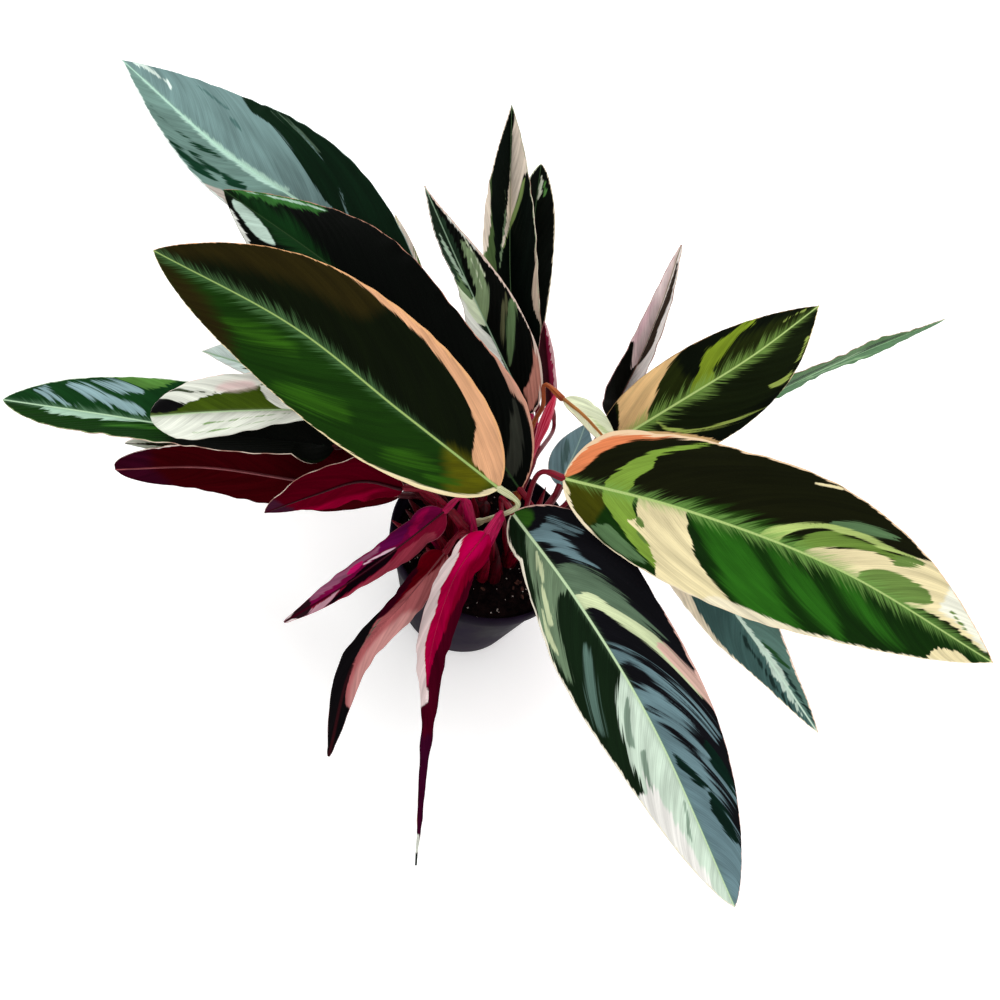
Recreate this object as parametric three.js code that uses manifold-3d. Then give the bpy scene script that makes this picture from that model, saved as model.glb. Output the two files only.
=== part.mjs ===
// Stromanthe triostar growing in a nursery pot. Millimetres, +Z up, -Y is the front.
// The origin is the middle of the pot's flat underside.
import * as THREE from 'three'
import { mergeVertices } from 'three/addons/utils/BufferGeometryUtils.js'
import Module from 'manifold-3d'

const wasm = await Module()
wasm.setup()

// Pot: thin tapered wall, with a wider band round the rim.
const potHeight = 86
const potRimRadius = 60
const potBaseRadius = 40
const potWall = 1.5
const potFloor = 2
const rimBandHeight = 10
const rimBandStep = 2.5
const potSides = 32
const drainHoleRadius = 4
const drainHoleRing = 27
const drainHoleCount = 6

// Soil: fills the pot to just below the rim band, with an uneven top.
const touchGap = 0.3
const soilTop = 74
const soilRoughness = 1.1
const soilHoleBottom = 42

// Shoots: a short round stem in the soil, from which the leaf stalks spread.
const stemRadius = 5.5
const stemSides = 10
const stemFoot = soilHoleBottom + touchGap
const stemShoulder = 84
const stemTop = 92
const stalkRadius = 1.7
const stalkSpread = 3
const stalkSides = 6
const sheathRadius = 3
const sheathShare = 0.36
const jointRadius = 2.1
const jointLength = 9
const leadIn = 15
const spikeRadius = 3.4

// Blades: thin arched plates with a thicker rib below the middle.
const bladeThickness = 0.8
const ribDepth = 1
const neckHalfWidth = 1.6
const tipHalfWidth = 0.5
const foldRise = 0.12
const foldRoom = 1.8
const bladeAcross = [-1, -0.75, -0.4, 0, 0.4, 0.75, 1]
const bladeAlong = [0, 0.03, 0.09, 0.18, 0.28, 0.39, 0.5, 0.61, 0.72, 0.82, 0.91, 0.97, 1]
const shortBladeAlong = [0, 0.05, 0.16, 0.3, 0.46, 0.62, 0.77, 0.9, 1]

const deepGreen = 0x17351a
const blackGreen = 0x0c1a12
const greyGreen = 0x3d5a4c
const paleGreen = 0xa9b98c
const maroon = 0x4a0f1d
const crimson = 0x8a0f3a

// Every blade follows its midrib from the stalk to the tip. 'facing' says where the upper
// face looks at each of those points. 'width' is across the flattened blade, and 'left' and
// 'right' are the share of each half. 'fold' is how steeply the halves rise from the midrib
// and 'curl' how much they bend back down, both in degrees; a list runs from base to tip.
// 'peak' is where along the blade it is widest, and a smaller 'blunt' gives a rounder tip.
const leaves = [
  {
    name: 'leaf_left_top', colour: deepGreen, width: 84, peak: 0.45, blunt: 0.85,
    midrib: [[-3, -18, 158], [-67, -20, 190], [-133, -13, 212], [-208, -14, 226]],
    facing: [[0.4, -0.6, 0.7], [0.3, -0.6, 0.8], [0.2, -0.6, 0.8], [0.1, -0.7, 0.7]],
    foldLeft: 8, foldRight: 14, curl: 22, left: [0.78, 0.8, 0.85, 0.9, 0.95],
  },
  {
    name: 'leaf_left_dark', colour: blackGreen, width: 84, peak: 0.52, blunt: 0.9,
    midrib: [[9, 13, 126], [-51, 41, 154], [-132, 70, 178], [-225, 91, 190]],
    facing: [[0, -0.7, 0.7], [0, -0.7, 0.8], [0, -0.6, 0.8], [0, -0.4, 0.9]],
    foldLeft: 14, foldRight: 10, curl: 28,
    right: [1, 1, 0.97, 0.88, 0.8, 0.82, 0.9, 0.97, 1, 1, 1],
  },
  {
    name: 'leaf_left_rear', colour: greyGreen, width: 76, peak: 0.52, blunt: 1.05,
    midrib: [[-95, 120, 120], [-172, 125, 168], [-242, 122, 193], [-328, 155, 203]],
    facing: [[0.3, -0.7, 0.6], [0.3, -0.7, 0.6], [0, -0.7, 0.7], [-0.2, -0.6, 0.8]],
    left: [0.8, 0.8, 0.8, 0.72, 0.68, 0.66], right: [1.06, 1.1, 1.14, 1.1, 1.06, 1.06],
    foldLeft: 25, foldRight: 0, curl: 18,
  },
  {
    name: 'leaf_right_top', colour: deepGreen, width: 86, peak: 0.42, blunt: 0.95,
    midrib: [[28, -8, 175], [91, -29, 212], [163, -44, 230], [247, -55, 222]],
    facing: [[-0.6, -0.6, 0.6], [-0.4, -0.6, 0.7], [-0.2, -0.7, 0.7], [0, -0.7, 0.7]],
    left: [1.32, 0.92, 0.86, 0.93, 0.95, 0.95], right: [0.86, 0.86, 0.88, 0.93, 0.98, 0.98, 1, 1.02],
    foldLeft: 8, foldRight: 10, curl: 20,
  },
  {
    name: 'leaf_front_right', colour: greyGreen, width: 72, peak: 0.45, blunt: 0.8,
    midrib: [[10, -9, 130], [59, -65, 152], [116, -115, 145], [186, -168, 104]],
    facing: [[-0.7, -0.3, 0.7], [-0.4, -0.3, 0.8], [-0.1, -0.6, 0.8], [0, -0.6, 0.8]],
    left: [1.1, 1.1, 1.08, 0.97, 0.96, 1, 1.05, 1.1],
    right: [0.84, 0.5, 0.64, 0.8, 0.84, 0.84, 0.84, 0.84], fold: 14, curl: 16,
  },
  {
    name: 'leaf_right_rear', colour: deepGreen, width: 62, peak: 0.4, blunt: 1,
    midrib: [[48, 68, 126], [79, 87, 170], [107, 104, 212], [130, 128, 245]],
    facing: [[-0.3, -0.8, 0.5], [-0.3, -0.8, 0.5], [-0.2, -0.8, 0.6], [-0.2, -0.7, 0.7]],
    left: 0.85, right: 1.1, fold: 10, curl: 15,
  },
  {
    name: 'leaf_upright_striped', colour: greyGreen, width: 56, peak: 0.4, blunt: 1.05,
    midrib: [[-2, 85, 114], [-37, 98, 146], [-70, 90, 199], [-97, 63, 266]],
    facing: [[0.2, -0.8, 0.6], [0.4, -0.8, 0.4], [0.6, -0.8, 0.1], [0.6, -0.8, -0.1]],
    left: [0.3, 0.5, 0.65, 0.75, 0.75, 0.62, 0.42, 0.36, 0.52, 0.72, 0.9],
    right: [0.88, 0.88, 0.85, 0.75, 0.5],
    foldLeft: 48, foldRight: 20, curl: 15,
  },
  {
    name: 'leaf_upright_rear', colour: blackGreen, width: 52, peak: 0.4, blunt: 1,
    midrib: [[-14, 110, 118], [-42, 132, 160], [-67, 177, 199], [-88, 214, 240]],
    facing: [[0.2, -0.8, 0.5], [0.1, -0.8, 0.7], [0, -0.7, 0.7], [0.1, -0.7, 0.7]],
    fold: 58, curl: 20,
  },
  {
    name: 'leaf_upright_slim', colour: blackGreen, width: 42, peak: 0.4, blunt: 0.7, short: true,
    midrib: [[-2, 114, 100], [-28, 143, 140], [-45, 175, 178], [-58, 209, 212]],
    facing: [[0.2, -0.7, 0.7], [0.2, -0.7, 0.7], [0.2, -0.7, 0.7], [0.2, -0.7, 0.7]],
    fold: 30, curl: 20, right: [0.4, 0.5, 0.75, 0.9, 1],
  },
  {
    name: 'leaf_upright_young', colour: maroon, width: 18, peak: 0.4, blunt: 0.8, short: true,
    midrib: [[11, 113, 98], [1, 114, 123], [-8, 114, 147], [-16, 116, 167]],
    facing: [[0.4, -0.9, 0.2], [0.4, -0.9, 0.2], [0.4, -0.9, 0.2], [0.4, -0.9, 0.2]],
    fold: 40, curl: 20, wave: 0.8, right: 0.6,
  },
  {
    name: 'leaf_upright_pink', colour: paleGreen, width: 36, peak: 0.4, blunt: 1,
    midrib: [[51, 127, 98], [52, 135, 146], [50, 149, 188], [46, 168, 222]],
    facing: [[-0.1, -1, 0.2], [-0.1, -1, 0.2], [-0.1, -0.9, 0.4], [-0.1, -0.9, 0.5]],
    foldLeft: 45, foldRight: 70, curl: 10, left: [1, 1, 0.75, 0.65, 0.65, 0.8],
  },
  {
    name: 'leaf_far_right', colour: greyGreen, width: 60, peak: 0.4, blunt: 0.7,
    midrib: [[107, 119, 115], [155, 174, 140], [205, 225, 160], [258, 278, 175]],
    facing: [[0.8, -0.6, -0.2], [0.8, -0.6, -0.2], [0.7, -0.6, -0.2], [0.7, -0.7, -0.2]],
    fold: 5, curl: 5, left: [1, 1.1, 1.05, 0.6, 0.35], right: [0.25, 0.3, 0.5, 0.6, 0.7],
  },
  {
    name: 'leaf_right_low', colour: greyGreen, width: 50, peak: 0.4, blunt: 0.85,
    midrib: [[90, 46, 120], [133, 12, 120], [181, -9, 100], [244, -27, 60]],
    facing: [[-0.5, -0.7, 0.5], [-0.4, -0.8, 0.5], [-0.1, -0.9, 0.4], [0, -0.9, 0.3]],
    right: [0.85, 0.9, 0.95, 0.9, 0.75, 0.6], fold: 12, curl: 12, left: [1, 1, 0.95, 0.85, 0.65, 0.6],
  },
  {
    name: 'leaf_far_left', colour: deepGreen, width: 54, peak: 0.4, blunt: 0.8,
    midrib: [[-101, -14, 132], [-162, -34, 129], [-226, -47, 122], [-290, -52, 104]],
    facing: [[0.2, -0.6, 0.8], [0.1, -0.6, 0.8], [-0.1, -0.6, 0.8], [-0.2, -0.7, 0.7]],
    foldLeft: [74, 74, 74, 66, 56, 50], foldRight: 0, curl: 10,
  },
  {
    name: 'leaf_left_rolled', colour: paleGreen, width: 46, peak: 0.4, blunt: 0.5,
    midrib: [[-96, -11, 164], [-129, -29, 164], [-163, -45, 159], [-192, -55, 149]],
    facing: [[0.3, -0.6, 0.8], [0.2, -0.6, 0.8], [0.1, -0.7, 0.7], [0, -0.7, 0.7]],
    left: [0.3, 0.3, 0.3, 0.4, 0.55, 0.7, 0.85, 1, 1], fold: 35, curl: 90,
  },
  {
    name: 'leaf_left_behind', colour: greyGreen, width: 50, peak: 0.4, blunt: 1, short: true,
    midrib: [[-75, 34, 110], [-121, 27, 125], [-164, 21, 130], [-201, 17, 130]],
    facing: [[0.3, -0.6, 0.7], [0.3, -0.6, 0.7], [0.1, -0.6, 0.8], [0.1, -0.7, 0.8]],
    fold: 15, curl: 10, left: [1, 0.8, 0.5, 0.35, 0.35],
  },
  {
    name: 'leaf_left_low', colour: maroon, width: 58, peak: 0.4, blunt: 0.4,
    midrib: [[-57, -10, 106], [-117, -21, 97], [-177, -27, 80], [-230, -42, 62]],
    facing: [[-0.1, 0.9, -0.4], [-0.1, 1, -0.2], [-0.2, 1, 0], [-0.3, 1, 0]],
    left: [1.1, 1.1, 0.95, 0.76, 0.7], right: [0.55, 0.85, 1.12, 1.15, 0.95], fold: 12, curl: 12,
  },
  {
    name: 'leaf_left_low_rear', colour: blackGreen, width: 36, peak: 0.4, blunt: 0.7, short: true,
    midrib: [[-66, 15, 96], [-128, 3, 90], [-182, -11, 80], [-230, -29, 74]],
    facing: [[-0.2, 1, 0.1], [-0.2, 1, 0.1], [-0.3, 0.9, 0.1], [-0.4, 0.9, 0.1]],
    fold: 12, curl: 10,
  },
  {
    name: 'leaf_left_short', colour: maroon, width: 60, peak: 0.4, blunt: 0.8, short: true,
    midrib: [[-53, -29, 140], [-77, -34, 138], [-100, -46, 124], [-124, -55, 102]],
    facing: [[-0.2, 1, 0], [-0.3, 0.9, 0], [-0.5, 0.9, 0.1], [-0.5, 0.9, 0.1]],
    left: 0.6, right: [0.8, 0.75, 0.76, 0.86, 1.05, 1.1, 1.1], fold: 15, curl: 15,
  },
  {
    name: 'leaf_front_left', colour: crimson, width: 44, peak: 0.4, blunt: 0.8, short: true,
    midrib: [[-27, -28, 132], [-43, -63, 130], [-63, -88, 112], [-87, -105, 82]],
    facing: [[-0.3, 0.2, -0.9], [-0.2, 0.4, -0.9], [0.1, 0.7, -0.7], [0.2, 0.8, -0.6]],
    fold: 60, curl: 10, left: [1, 0.75, 0.6, 0.7, 0.75, 0.6], right: [1, 0.9, 0.65, 0.5, 0.55, 0.8],
  },
  {
    name: 'leaf_front_drooping', colour: maroon, width: 46, peak: 0.4, blunt: 0.8, short: true,
    midrib: [[-18, -42, 114], [-27, -76, 109], [-41, -115, 86], [-35, -155, 50]],
    facing: [[-0.1, 0.2, -1], [-0.1, 0.4, -0.9], [-0.1, 0.6, -0.8], [-0.1, 0.7, -0.7]],
    left: [1, 0.8, 0.6, 0.5, 0.55, 0.75, 0.9, 1], right: 0.8, fold: 62, curl: 10,
  },
  {
    name: 'leaf_front_long_tip', colour: crimson, width: 42, peak: 0.3, blunt: 2.3,
    midrib: [[0, -37, 141], [-7, -68, 134], [-4, -98, 104], [8, -122, 68], [24, -157, 30],
      [34, -181, 12]],
    facing: [[-0.1, 0.2, -1], [0, 0.5, -0.8], [-0.1, 0.7, -0.7], [-0.1, 0.7, -0.7],
      [-0.1, 0.7, -0.7]],
    left: [0.8, 0.8, 0.8, 0.8, 0.75, 0.4, 0.3, 0.3, 0.5], right: [0.85, 0.9, 1.1, 1.1],
    fold: [60, 60, 62, 72, 80, 84], curl: 10,
  },
  {
    name: 'leaf_centre_arched', colour: paleGreen, width: 34, peak: 0.4, blunt: 1, short: true,
    midrib: [[13, 64, 160], [29, 57, 160], [47, 55, 150], [68, 56, 132]],
    facing: [[0.2, 0.3, -0.9], [-0.2, 0.3, -0.9], [-0.5, 0.4, -0.8], [-0.6, 0.4, -0.7]],
    left: 0.25, fold: 15, curl: 10, wave: 0.8, right: 0.75,
  },
  {
    name: 'leaf_centre_young', colour: greyGreen, width: 28, peak: 0.4, blunt: 1, short: true,
    midrib: [[33, 51, 98], [34, 66, 103], [35, 81, 108], [35, 99, 112]],
    facing: [[0, -0.3, 0.9], [0, -0.3, 0.9], [-0.1, -0.3, 1], [-0.1, -0.2, 1]],
    fold: 10, curl: 10, wave: 0.8,
  },
  {
    name: 'leaf_rear_young', colour: paleGreen, width: 30, peak: 0.4, blunt: 1, short: true,
    midrib: [[-97, 148, 106], [-110, 148, 128], [-124, 154, 148], [-138, 166, 162]],
    facing: [[0.5, -0.8, 0.3], [0.4, -0.8, 0.4], [0.2, -0.8, 0.6], [0.1, -0.7, 0.7]],
    fold: 10, curl: 10, wave: 0.8, right: 0.5,
  },
]

// Every shoot stands in the soil at 'foot' and carries the stalks of its leaves. A stalk
// leaves the stem at height 'from' and passes the points 'by' on its way to the blade; its
// sheath covers the share 'sheath' of it and is 'wide' in radius. 'spikes' are the pointed
// sheaths round the stem that new leaves grow out of; 'base' is where one stands.
const shoots = [
  {
    name: 'shoot_front', foot: [2, -16],
    stalks: [
      { leaf: 'leaf_front_long_tip', from: 88, sheath: 0.7, wide: 4 },
      { leaf: 'leaf_front_drooping', from: 84, sheath: 0.7, wide: 4 },
      { leaf: 'leaf_front_left', from: 82, sheath: 0.7, wide: 3.8 },
      { leaf: 'leaf_left_short', from: 90, sheath: 0.6, wide: 3.4 },
    ],
    spikes: [
      { tip: [-8, -28, 128] },
      { tip: [0, -19, 124], base: [8, -18], wide: 4.2 },
      { tip: [4, -17, 116], base: [14, -15], wide: 4 },
      { tip: [6, -17, 110], base: [18, -14], wide: 3.6 },
      { tip: [-10, -20, 122], base: [-5, -14], wide: 4 },
    ],
  },
  {
    name: 'shoot_left', foot: [-16, -2],
    stalks: [
      { leaf: 'leaf_left_top', from: 90 },
      { leaf: 'leaf_left_low', from: 84 },
      { leaf: 'leaf_left_low_rear', from: 88 },
      { leaf: 'leaf_far_left', from: 84, by: [[-52, -8, 114]] },
      { leaf: 'leaf_left_rolled', from: 90, by: [[-50, -8, 118], [-78, -7, 142]] },
    ],
    spikes: [
      { tip: [-27, -10, 120], wide: 4 },
      { tip: [-36, -13, 122], wide: 4 },
      { tip: [-21, -7, 124], wide: 4.2 },
    ],
  },
  {
    name: 'shoot_rear_left', foot: [-8, 18],
    stalks: [
      { leaf: 'leaf_left_rear', from: 88 },
      { leaf: 'leaf_left_behind', from: 86 },
      { leaf: 'leaf_rear_young', from: 83, by: [[-30, 50, 104]] },
    ],
    spikes: [{ tip: [-12, 30, 112] }, { tip: [-16, 6, 112], wide: 4 }],
  },
  {
    name: 'shoot_rear', foot: [10, 26],
    stalks: [
      { leaf: 'leaf_left_dark', from: 90 },
      { leaf: 'leaf_upright_striped', from: 86 },
      { leaf: 'leaf_upright_rear', from: 88, by: [[8, 72, 104]] },
      { leaf: 'leaf_upright_slim', from: 90, lead: 8 },
      { leaf: 'leaf_upright_young', from: 84, by: [[11, 56, 104]] },
      { leaf: 'leaf_centre_arched', from: 92, by: [[2, 62, 132], [3, 63, 150]] },
    ],
    spikes: [{ tip: [8, 88, 142] }],
  },
  {
    name: 'shoot_rear_right', foot: [26, 14],
    stalks: [
      { leaf: 'leaf_upright_pink', from: 90, lead: 6 },
      { leaf: 'leaf_right_rear', from: 86, by: [[42, 40, 104]] },
      { leaf: 'leaf_far_right', from: 88 },
      { leaf: 'leaf_centre_young', from: 80 },
    ],
    spikes: [{ tip: [24, 30, 118] }],
  },
  {
    name: 'shoot_right', foot: [20, -4],
    stalks: [
      { leaf: 'leaf_right_top', from: 90 },
      { leaf: 'leaf_front_right', from: 86 },
      { leaf: 'leaf_right_low', from: 82 },
    ],
    spikes: [{ tip: [22, -14, 116] }],
  },
]

const vector = (point) => new THREE.Vector3(...point)

// A value that is one number, or a list that runs evenly from the base to the tip.
function along(value, t) {
  if (!Array.isArray(value)) return value
  const place = t * (value.length - 1)
  const index = Math.min(Math.floor(place), value.length - 2)
  return THREE.MathUtils.lerp(value[index], value[index + 1], place - index)
}

// Closed geometry to manifold solid: shared corners merged, collapsed triangles left out.
function toSolid(geometry) {
  const bare = geometry.clone()
  bare.deleteAttribute('normal')
  bare.deleteAttribute('uv')
  const merged = mergeVertices(bare, 1e-3)
  const corners = []
  for (let i = 0; i < merged.index.count; i += 3) {
    const [a, b, c] = [0, 1, 2].map((step) => merged.index.getX(i + step))
    if (a !== b && b !== c && c !== a) corners.push(a, b, c)
  }
  return new wasm.Manifold(new wasm.Mesh({
    numProp: 3,
    vertProperties: new Float32Array(merged.attributes.position.array),
    triVerts: new Uint32Array(corners),
  }))
}

function toGeometry(solid) {
  const mesh = solid.getMesh()
  const points = new Float32Array(mesh.numVert * 3)
  for (let i = 0; i < mesh.numVert; i += 1) {
    for (let axis = 0; axis < 3; axis += 1) {
      points[3 * i + axis] = mesh.vertProperties[mesh.numProp * i + axis]
    }
  }
  const geometry = new THREE.BufferGeometry()
  geometry.setAttribute('position', new THREE.BufferAttribute(points, 3))
  geometry.setIndex(Array.from(mesh.triVerts))
  return geometry
}

// Lathe round +Z from a list of [radius, height].
function turned(profile, sides) {
  const points = profile.map(([radius, height]) => new THREE.Vector2(radius, height))
  return new THREE.LatheGeometry(points, sides).rotateX(Math.PI / 2)
}

function upright(radius, bottom, top, sides, [x, y]) {
  const profile = [[0, bottom], [radius, bottom], [radius, top], [0, top]]
  return turned(profile, sides).translate(x, y, 0)
}

function innerRadius(height) {
  const share = height / (potHeight - rimBandHeight)
  const outer = THREE.MathUtils.lerp(potBaseRadius, potRimRadius - rimBandStep, share)
  return outer - potWall
}

function potGeometry() {
  const bandFoot = potHeight - rimBandHeight
  const shoulder = potRimRadius - rimBandStep
  const profile = [
    [0, 0],
    [potBaseRadius, 0],
    [shoulder, bandFoot],
    [potRimRadius - 0.6, bandFoot + 0.6],
    [potRimRadius, potHeight - 0.8],
    [potRimRadius - 0.5, potHeight],
    [potRimRadius - potWall, potHeight],
    [potRimRadius - potWall - 0.5, bandFoot + potWall],
    [innerRadius(bandFoot - 0.5), bandFoot - 0.5],
    [innerRadius(potFloor), potFloor],
    [0, potFloor],
  ]
  let pot = toSolid(turned(profile, potSides))
  for (let i = 0; i < drainHoleCount; i += 1) {
    const angle = (i / drainHoleCount) * 2 * Math.PI
    const place = [drainHoleRing * Math.cos(angle), drainHoleRing * Math.sin(angle)]
    pot = pot.subtract(toSolid(upright(drainHoleRadius, -1, potFloor + 1, 12, place)))
  }
  return toGeometry(pot)
}

// The soil's top rises to the middle and rolls a little.
function soilLift(x, y) {
  const rolls = Math.sin(0.19 * x + 0.7) + Math.sin(0.23 * y - 0.4) + Math.sin(0.14 * (x - y))
  return (soilRoughness * rolls) / 2 + 2 * (1 - Math.hypot(x, y) / potRimRadius)
}

function soilGeometry() {
  const bottom = potFloor + touchGap
  const edge = innerRadius(soilTop - 3) - touchGap
  const profile = [[0, bottom], [innerRadius(bottom) - touchGap, bottom], [edge, soilTop - 3]]
  const rings = [1, 0.84, 0.6, 0.35, 0]
  rings.forEach((share) => profile.push([edge * share, soilTop]))
  const geometry = turned(profile, potSides)
  const position = geometry.attributes.position
  for (let i = 0; i < position.count; i += 1) {
    if (position.getZ(i) > soilTop - 0.5) {
      const [x, y] = [position.getX(i), position.getY(i)]
      const inward = Math.hypot(x, y) > edge - 0.1 ? -1.5 : soilLift(x, y)
      position.setZ(i, soilTop + inward)
    }
  }
  let soil = toSolid(geometry)
  shoots.forEach((shoot) => {
    const hole = upright(stemRadius + touchGap, soilHoleBottom, 100, stemSides, shoot.foot)
    soil = soil.subtract(toSolid(hole))
  })
  return toGeometry(soil)
}

// Half the blade's width, as a share of its widest, from base (0) to tip (1).
function widthShare(leaf, t) {
  if (t < leaf.peak) return (1 - (1 - t / leaf.peak) ** 2.4) ** 0.6
  const past = (t - leaf.peak) / (1 - leaf.peak)
  return Math.max(0, 1 - past ** 2.1) ** leaf.blunt
}

function midribOf(leaf) {
  return new THREE.CatmullRomCurve3(leaf.midrib.map(vector), false, 'catmullrom')
}

// One row of points across the blade, from its left edge to its right. Where the blade is
// narrow, its own thickness keeps the halves from folding shut.
function bladeRow(leaf, midrib, facing, t, phase) {
  const centre = midrib.getPoint(t)
  const ahead = midrib.getPoint(Math.min(1, t + 0.01))
  const forward = ahead.sub(midrib.getPoint(Math.max(0, t - 0.01))).normalize()
  const look = facing.getPoint(t)
  const up = look.addScaledVector(forward, -look.dot(forward)).normalize()
  const right = new THREE.Vector3().crossVectors(forward, up)
  return bladeAcross.map((place) => {
    const isRight = place >= 0
    const out = Math.abs(place)
    const rise = Math.min(1, t / foldRise)
    const foldSide = isRight ? leaf.foldRight : leaf.foldLeft
    const half = (leaf.width / 2) * along((isRight ? leaf.right : leaf.left) ?? 1, t)
    const least = t === 0 ? neckHalfWidth : tipHalfWidth
    const reach = Math.max(half * widthShare(leaf, t), least)
    const steepest = Math.atan(reach / foldRoom)
    const fold = Math.min(THREE.MathUtils.degToRad(along(foldSide ?? leaf.fold, t)), steepest) * rise
    const curl = THREE.MathUtils.degToRad(along(leaf.curl, t)) * rise + 1e-6
    const aside = (reach / curl) * (Math.sin(fold) - Math.sin(fold - curl * out))
    const turns = 2.5 * t + phase + (isRight ? 0.3 : 0)
    const ripple = (leaf.wave ?? 1.5) * out ** 1.6 * Math.sin(2 * Math.PI * turns)
    const lift = (reach / curl) * (Math.cos(fold - curl * out) - Math.cos(fold))
    return centre.clone()
      .addScaledVector(right, Math.sign(place) * aside)
      .addScaledVector(up, lift + ripple * Math.sin(Math.PI * t))
  })
}

function bladeGeometry(leaf, phase) {
  const midrib = midribOf(leaf)
  const facing = new THREE.CatmullRomCurve3(leaf.facing.map(vector), false, 'catmullrom')
  const steps = leaf.short ? shortBladeAlong : bladeAlong
  const rows = steps.map((t) => bladeRow(leaf, midrib, facing, t, phase))
  const rowCount = rows.length
  const columnCount = bladeAcross.length
  const upper = []
  const lower = []
  rows.forEach((row, i) => row.forEach((point, j) => {
    const rowAhead = rows[Math.min(i + 1, rowCount - 1)][j]
    const rowBehind = rows[Math.max(i - 1, 0)][j]
    const across = row[Math.min(j + 1, columnCount - 1)].clone()
    across.sub(row[Math.max(j - 1, 0)])
    const normal = across.cross(rowAhead.clone().sub(rowBehind)).normalize()
    const rib = bladeAcross[j] === 0 ? ribDepth * (1 - steps[i]) : 0
    upper.push(point.clone().addScaledVector(normal, bladeThickness / 2))
    lower.push(point.clone().addScaledVector(normal, -bladeThickness / 2 - rib))
  }))
  const under = upper.length
  const corner = (i, j) => i * columnCount + j
  const faces = []
  for (let i = 0; i < rowCount - 1; i += 1) {
    for (let j = 0; j < columnCount - 1; j += 1) {
      const [a, b] = [corner(i, j), corner(i, j + 1)]
      const [c, d] = [corner(i + 1, j + 1), corner(i + 1, j)]
      faces.push(a, b, c, a, c, d)
      faces.push(under + a, under + c, under + b, under + a, under + d, under + c)
    }
  }
  const rim = [
    ...Array.from({ length: columnCount }, (_, j) => corner(0, j)),
    ...Array.from({ length: rowCount - 1 }, (_, i) => corner(i + 1, columnCount - 1)),
    ...Array.from({ length: columnCount - 1 }, (_, j) => corner(rowCount - 1, columnCount - 2 - j)),
    ...Array.from({ length: rowCount - 2 }, (_, i) => corner(rowCount - 2 - i, 0)),
  ]
  rim.forEach((a, k) => {
    const b = rim[(k + 1) % rim.length]
    faces.push(a, under + a, under + b, a, under + b, b)
  })
  const geometry = new THREE.BufferGeometry()
  geometry.setFromPoints([...upper, ...lower])
  geometry.setIndex(faces)
  return geometry
}

// A round rod along a path, with its own radius at each share of the path's length.
function rodSolid(path, stations) {
  const positions = []
  const faces = []
  const side = new THREE.Vector3(0, 0, 1)
  stations.forEach(([share, radius]) => {
    const centre = path.getPointAt(share)
    const forward = path.getTangentAt(share)
    side.addScaledVector(forward, -side.dot(forward)).normalize()
    const other = new THREE.Vector3().crossVectors(forward, side)
    for (let k = 0; k < stalkSides; k += 1) {
      const angle = (k / stalkSides) * 2 * Math.PI
      positions.push(centre.clone()
        .addScaledVector(side, radius * Math.cos(angle))
        .addScaledVector(other, radius * Math.sin(angle)))
    }
  })
  const last = stations.length - 1
  for (let k = 0; k < stalkSides; k += 1) {
    const next = (k + 1) % stalkSides
    for (let ring = 0; ring < last; ring += 1) {
      const [a, b] = [ring * stalkSides + k, ring * stalkSides + next]
      faces.push(a, b, b + stalkSides, a, b + stalkSides, a + stalkSides)
    }
    if (k > 0 && next > 0) {
      const end = last * stalkSides
      faces.push(0, next, k, end, end + k, end + next)
    }
  }
  const geometry = new THREE.BufferGeometry().setFromPoints(positions)
  geometry.setIndex(faces)
  return toSolid(geometry)
}

// A stalk is wider in the sheath round its lower part and in the joint just below the blade.
function stalkSolid(shoot, stalk) {
  const leaf = leaves.find((one) => one.name === stalk.leaf)
  const midrib = midribOf(leaf)
  const blade = midrib.getPoint(0)
  const forward = midrib.getPoint(0.01).sub(blade).normalize()
  const [x, y] = shoot.foot
  const outward = new THREE.Vector2(blade.x - x, blade.y - y).setLength(stalkSpread)
  const before = (distance) => blade.clone().addScaledVector(forward, -distance)
  const route = [
    new THREE.Vector3(x + outward.x / 2, y + outward.y / 2, soilTop + 4),
    new THREE.Vector3(x + outward.x, y + outward.y, stalk.from),
    ...(stalk.by ?? []).map(vector),
    before(stalk.lead ?? leadIn),
    before(touchGap),
  ]
  const path = new THREE.CatmullRomCurve3(route, false, 'centripetal')
  const joint = 1 - jointLength / path.getLength()
  const sheath = stalk.sheath ?? sheathShare
  const wide = stalk.wide ?? sheathRadius
  const stations = [0, 0.4, 0.7, 1].map((part) => [part * sheath, wide])
  stations.push([sheath + 0.04, stalkRadius])
  for (let step = 1; step <= 3; step += 1) {
    stations.push([THREE.MathUtils.lerp(sheath + 0.04, joint, step / 3), stalkRadius])
  }
  stations.push([joint + 0.02, jointRadius], [1, jointRadius])
  return rodSolid(path, stations)
}

function spikeSolid(shoot, spike) {
  const base = new THREE.Vector3(...(spike.base ?? shoot.foot), soilTop + 4)
  const axis = vector(spike.tip).sub(base)
  const cone = new THREE.ConeGeometry(spike.wide ?? spikeRadius, axis.length(), 7)
  cone.translate(0, axis.length() / 2, 0)
  const turn = new THREE.Quaternion()
  turn.setFromUnitVectors(new THREE.Vector3(0, 1, 0), axis.clone().normalize())
  return toSolid(cone.applyQuaternion(turn).translate(base.x, base.y, base.z))
}

function shootGeometry(shoot) {
  const profile = [[0, stemFoot], [stemRadius, stemFoot], [stemRadius, stemShoulder]]
  profile.push([stemRadius - 1.5, stemTop], [0, stemTop + 2])
  let solid = toSolid(turned(profile, stemSides).translate(...shoot.foot, 0))
  shoot.stalks.forEach((stalk) => {
    solid = solid.add(stalkSolid(shoot, stalk))
  })
  shoot.spikes.forEach((spike) => {
    solid = solid.add(spikeSolid(shoot, spike))
  })
  return toGeometry(solid)
}

const group = new THREE.Group()

function addPart(name, geometry, color, roughness) {
  const material = new THREE.MeshStandardMaterial({ color, roughness, metalness: 0 })
  const mesh = new THREE.Mesh(geometry, material)
  mesh.name = name
  group.add(mesh)
}

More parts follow.
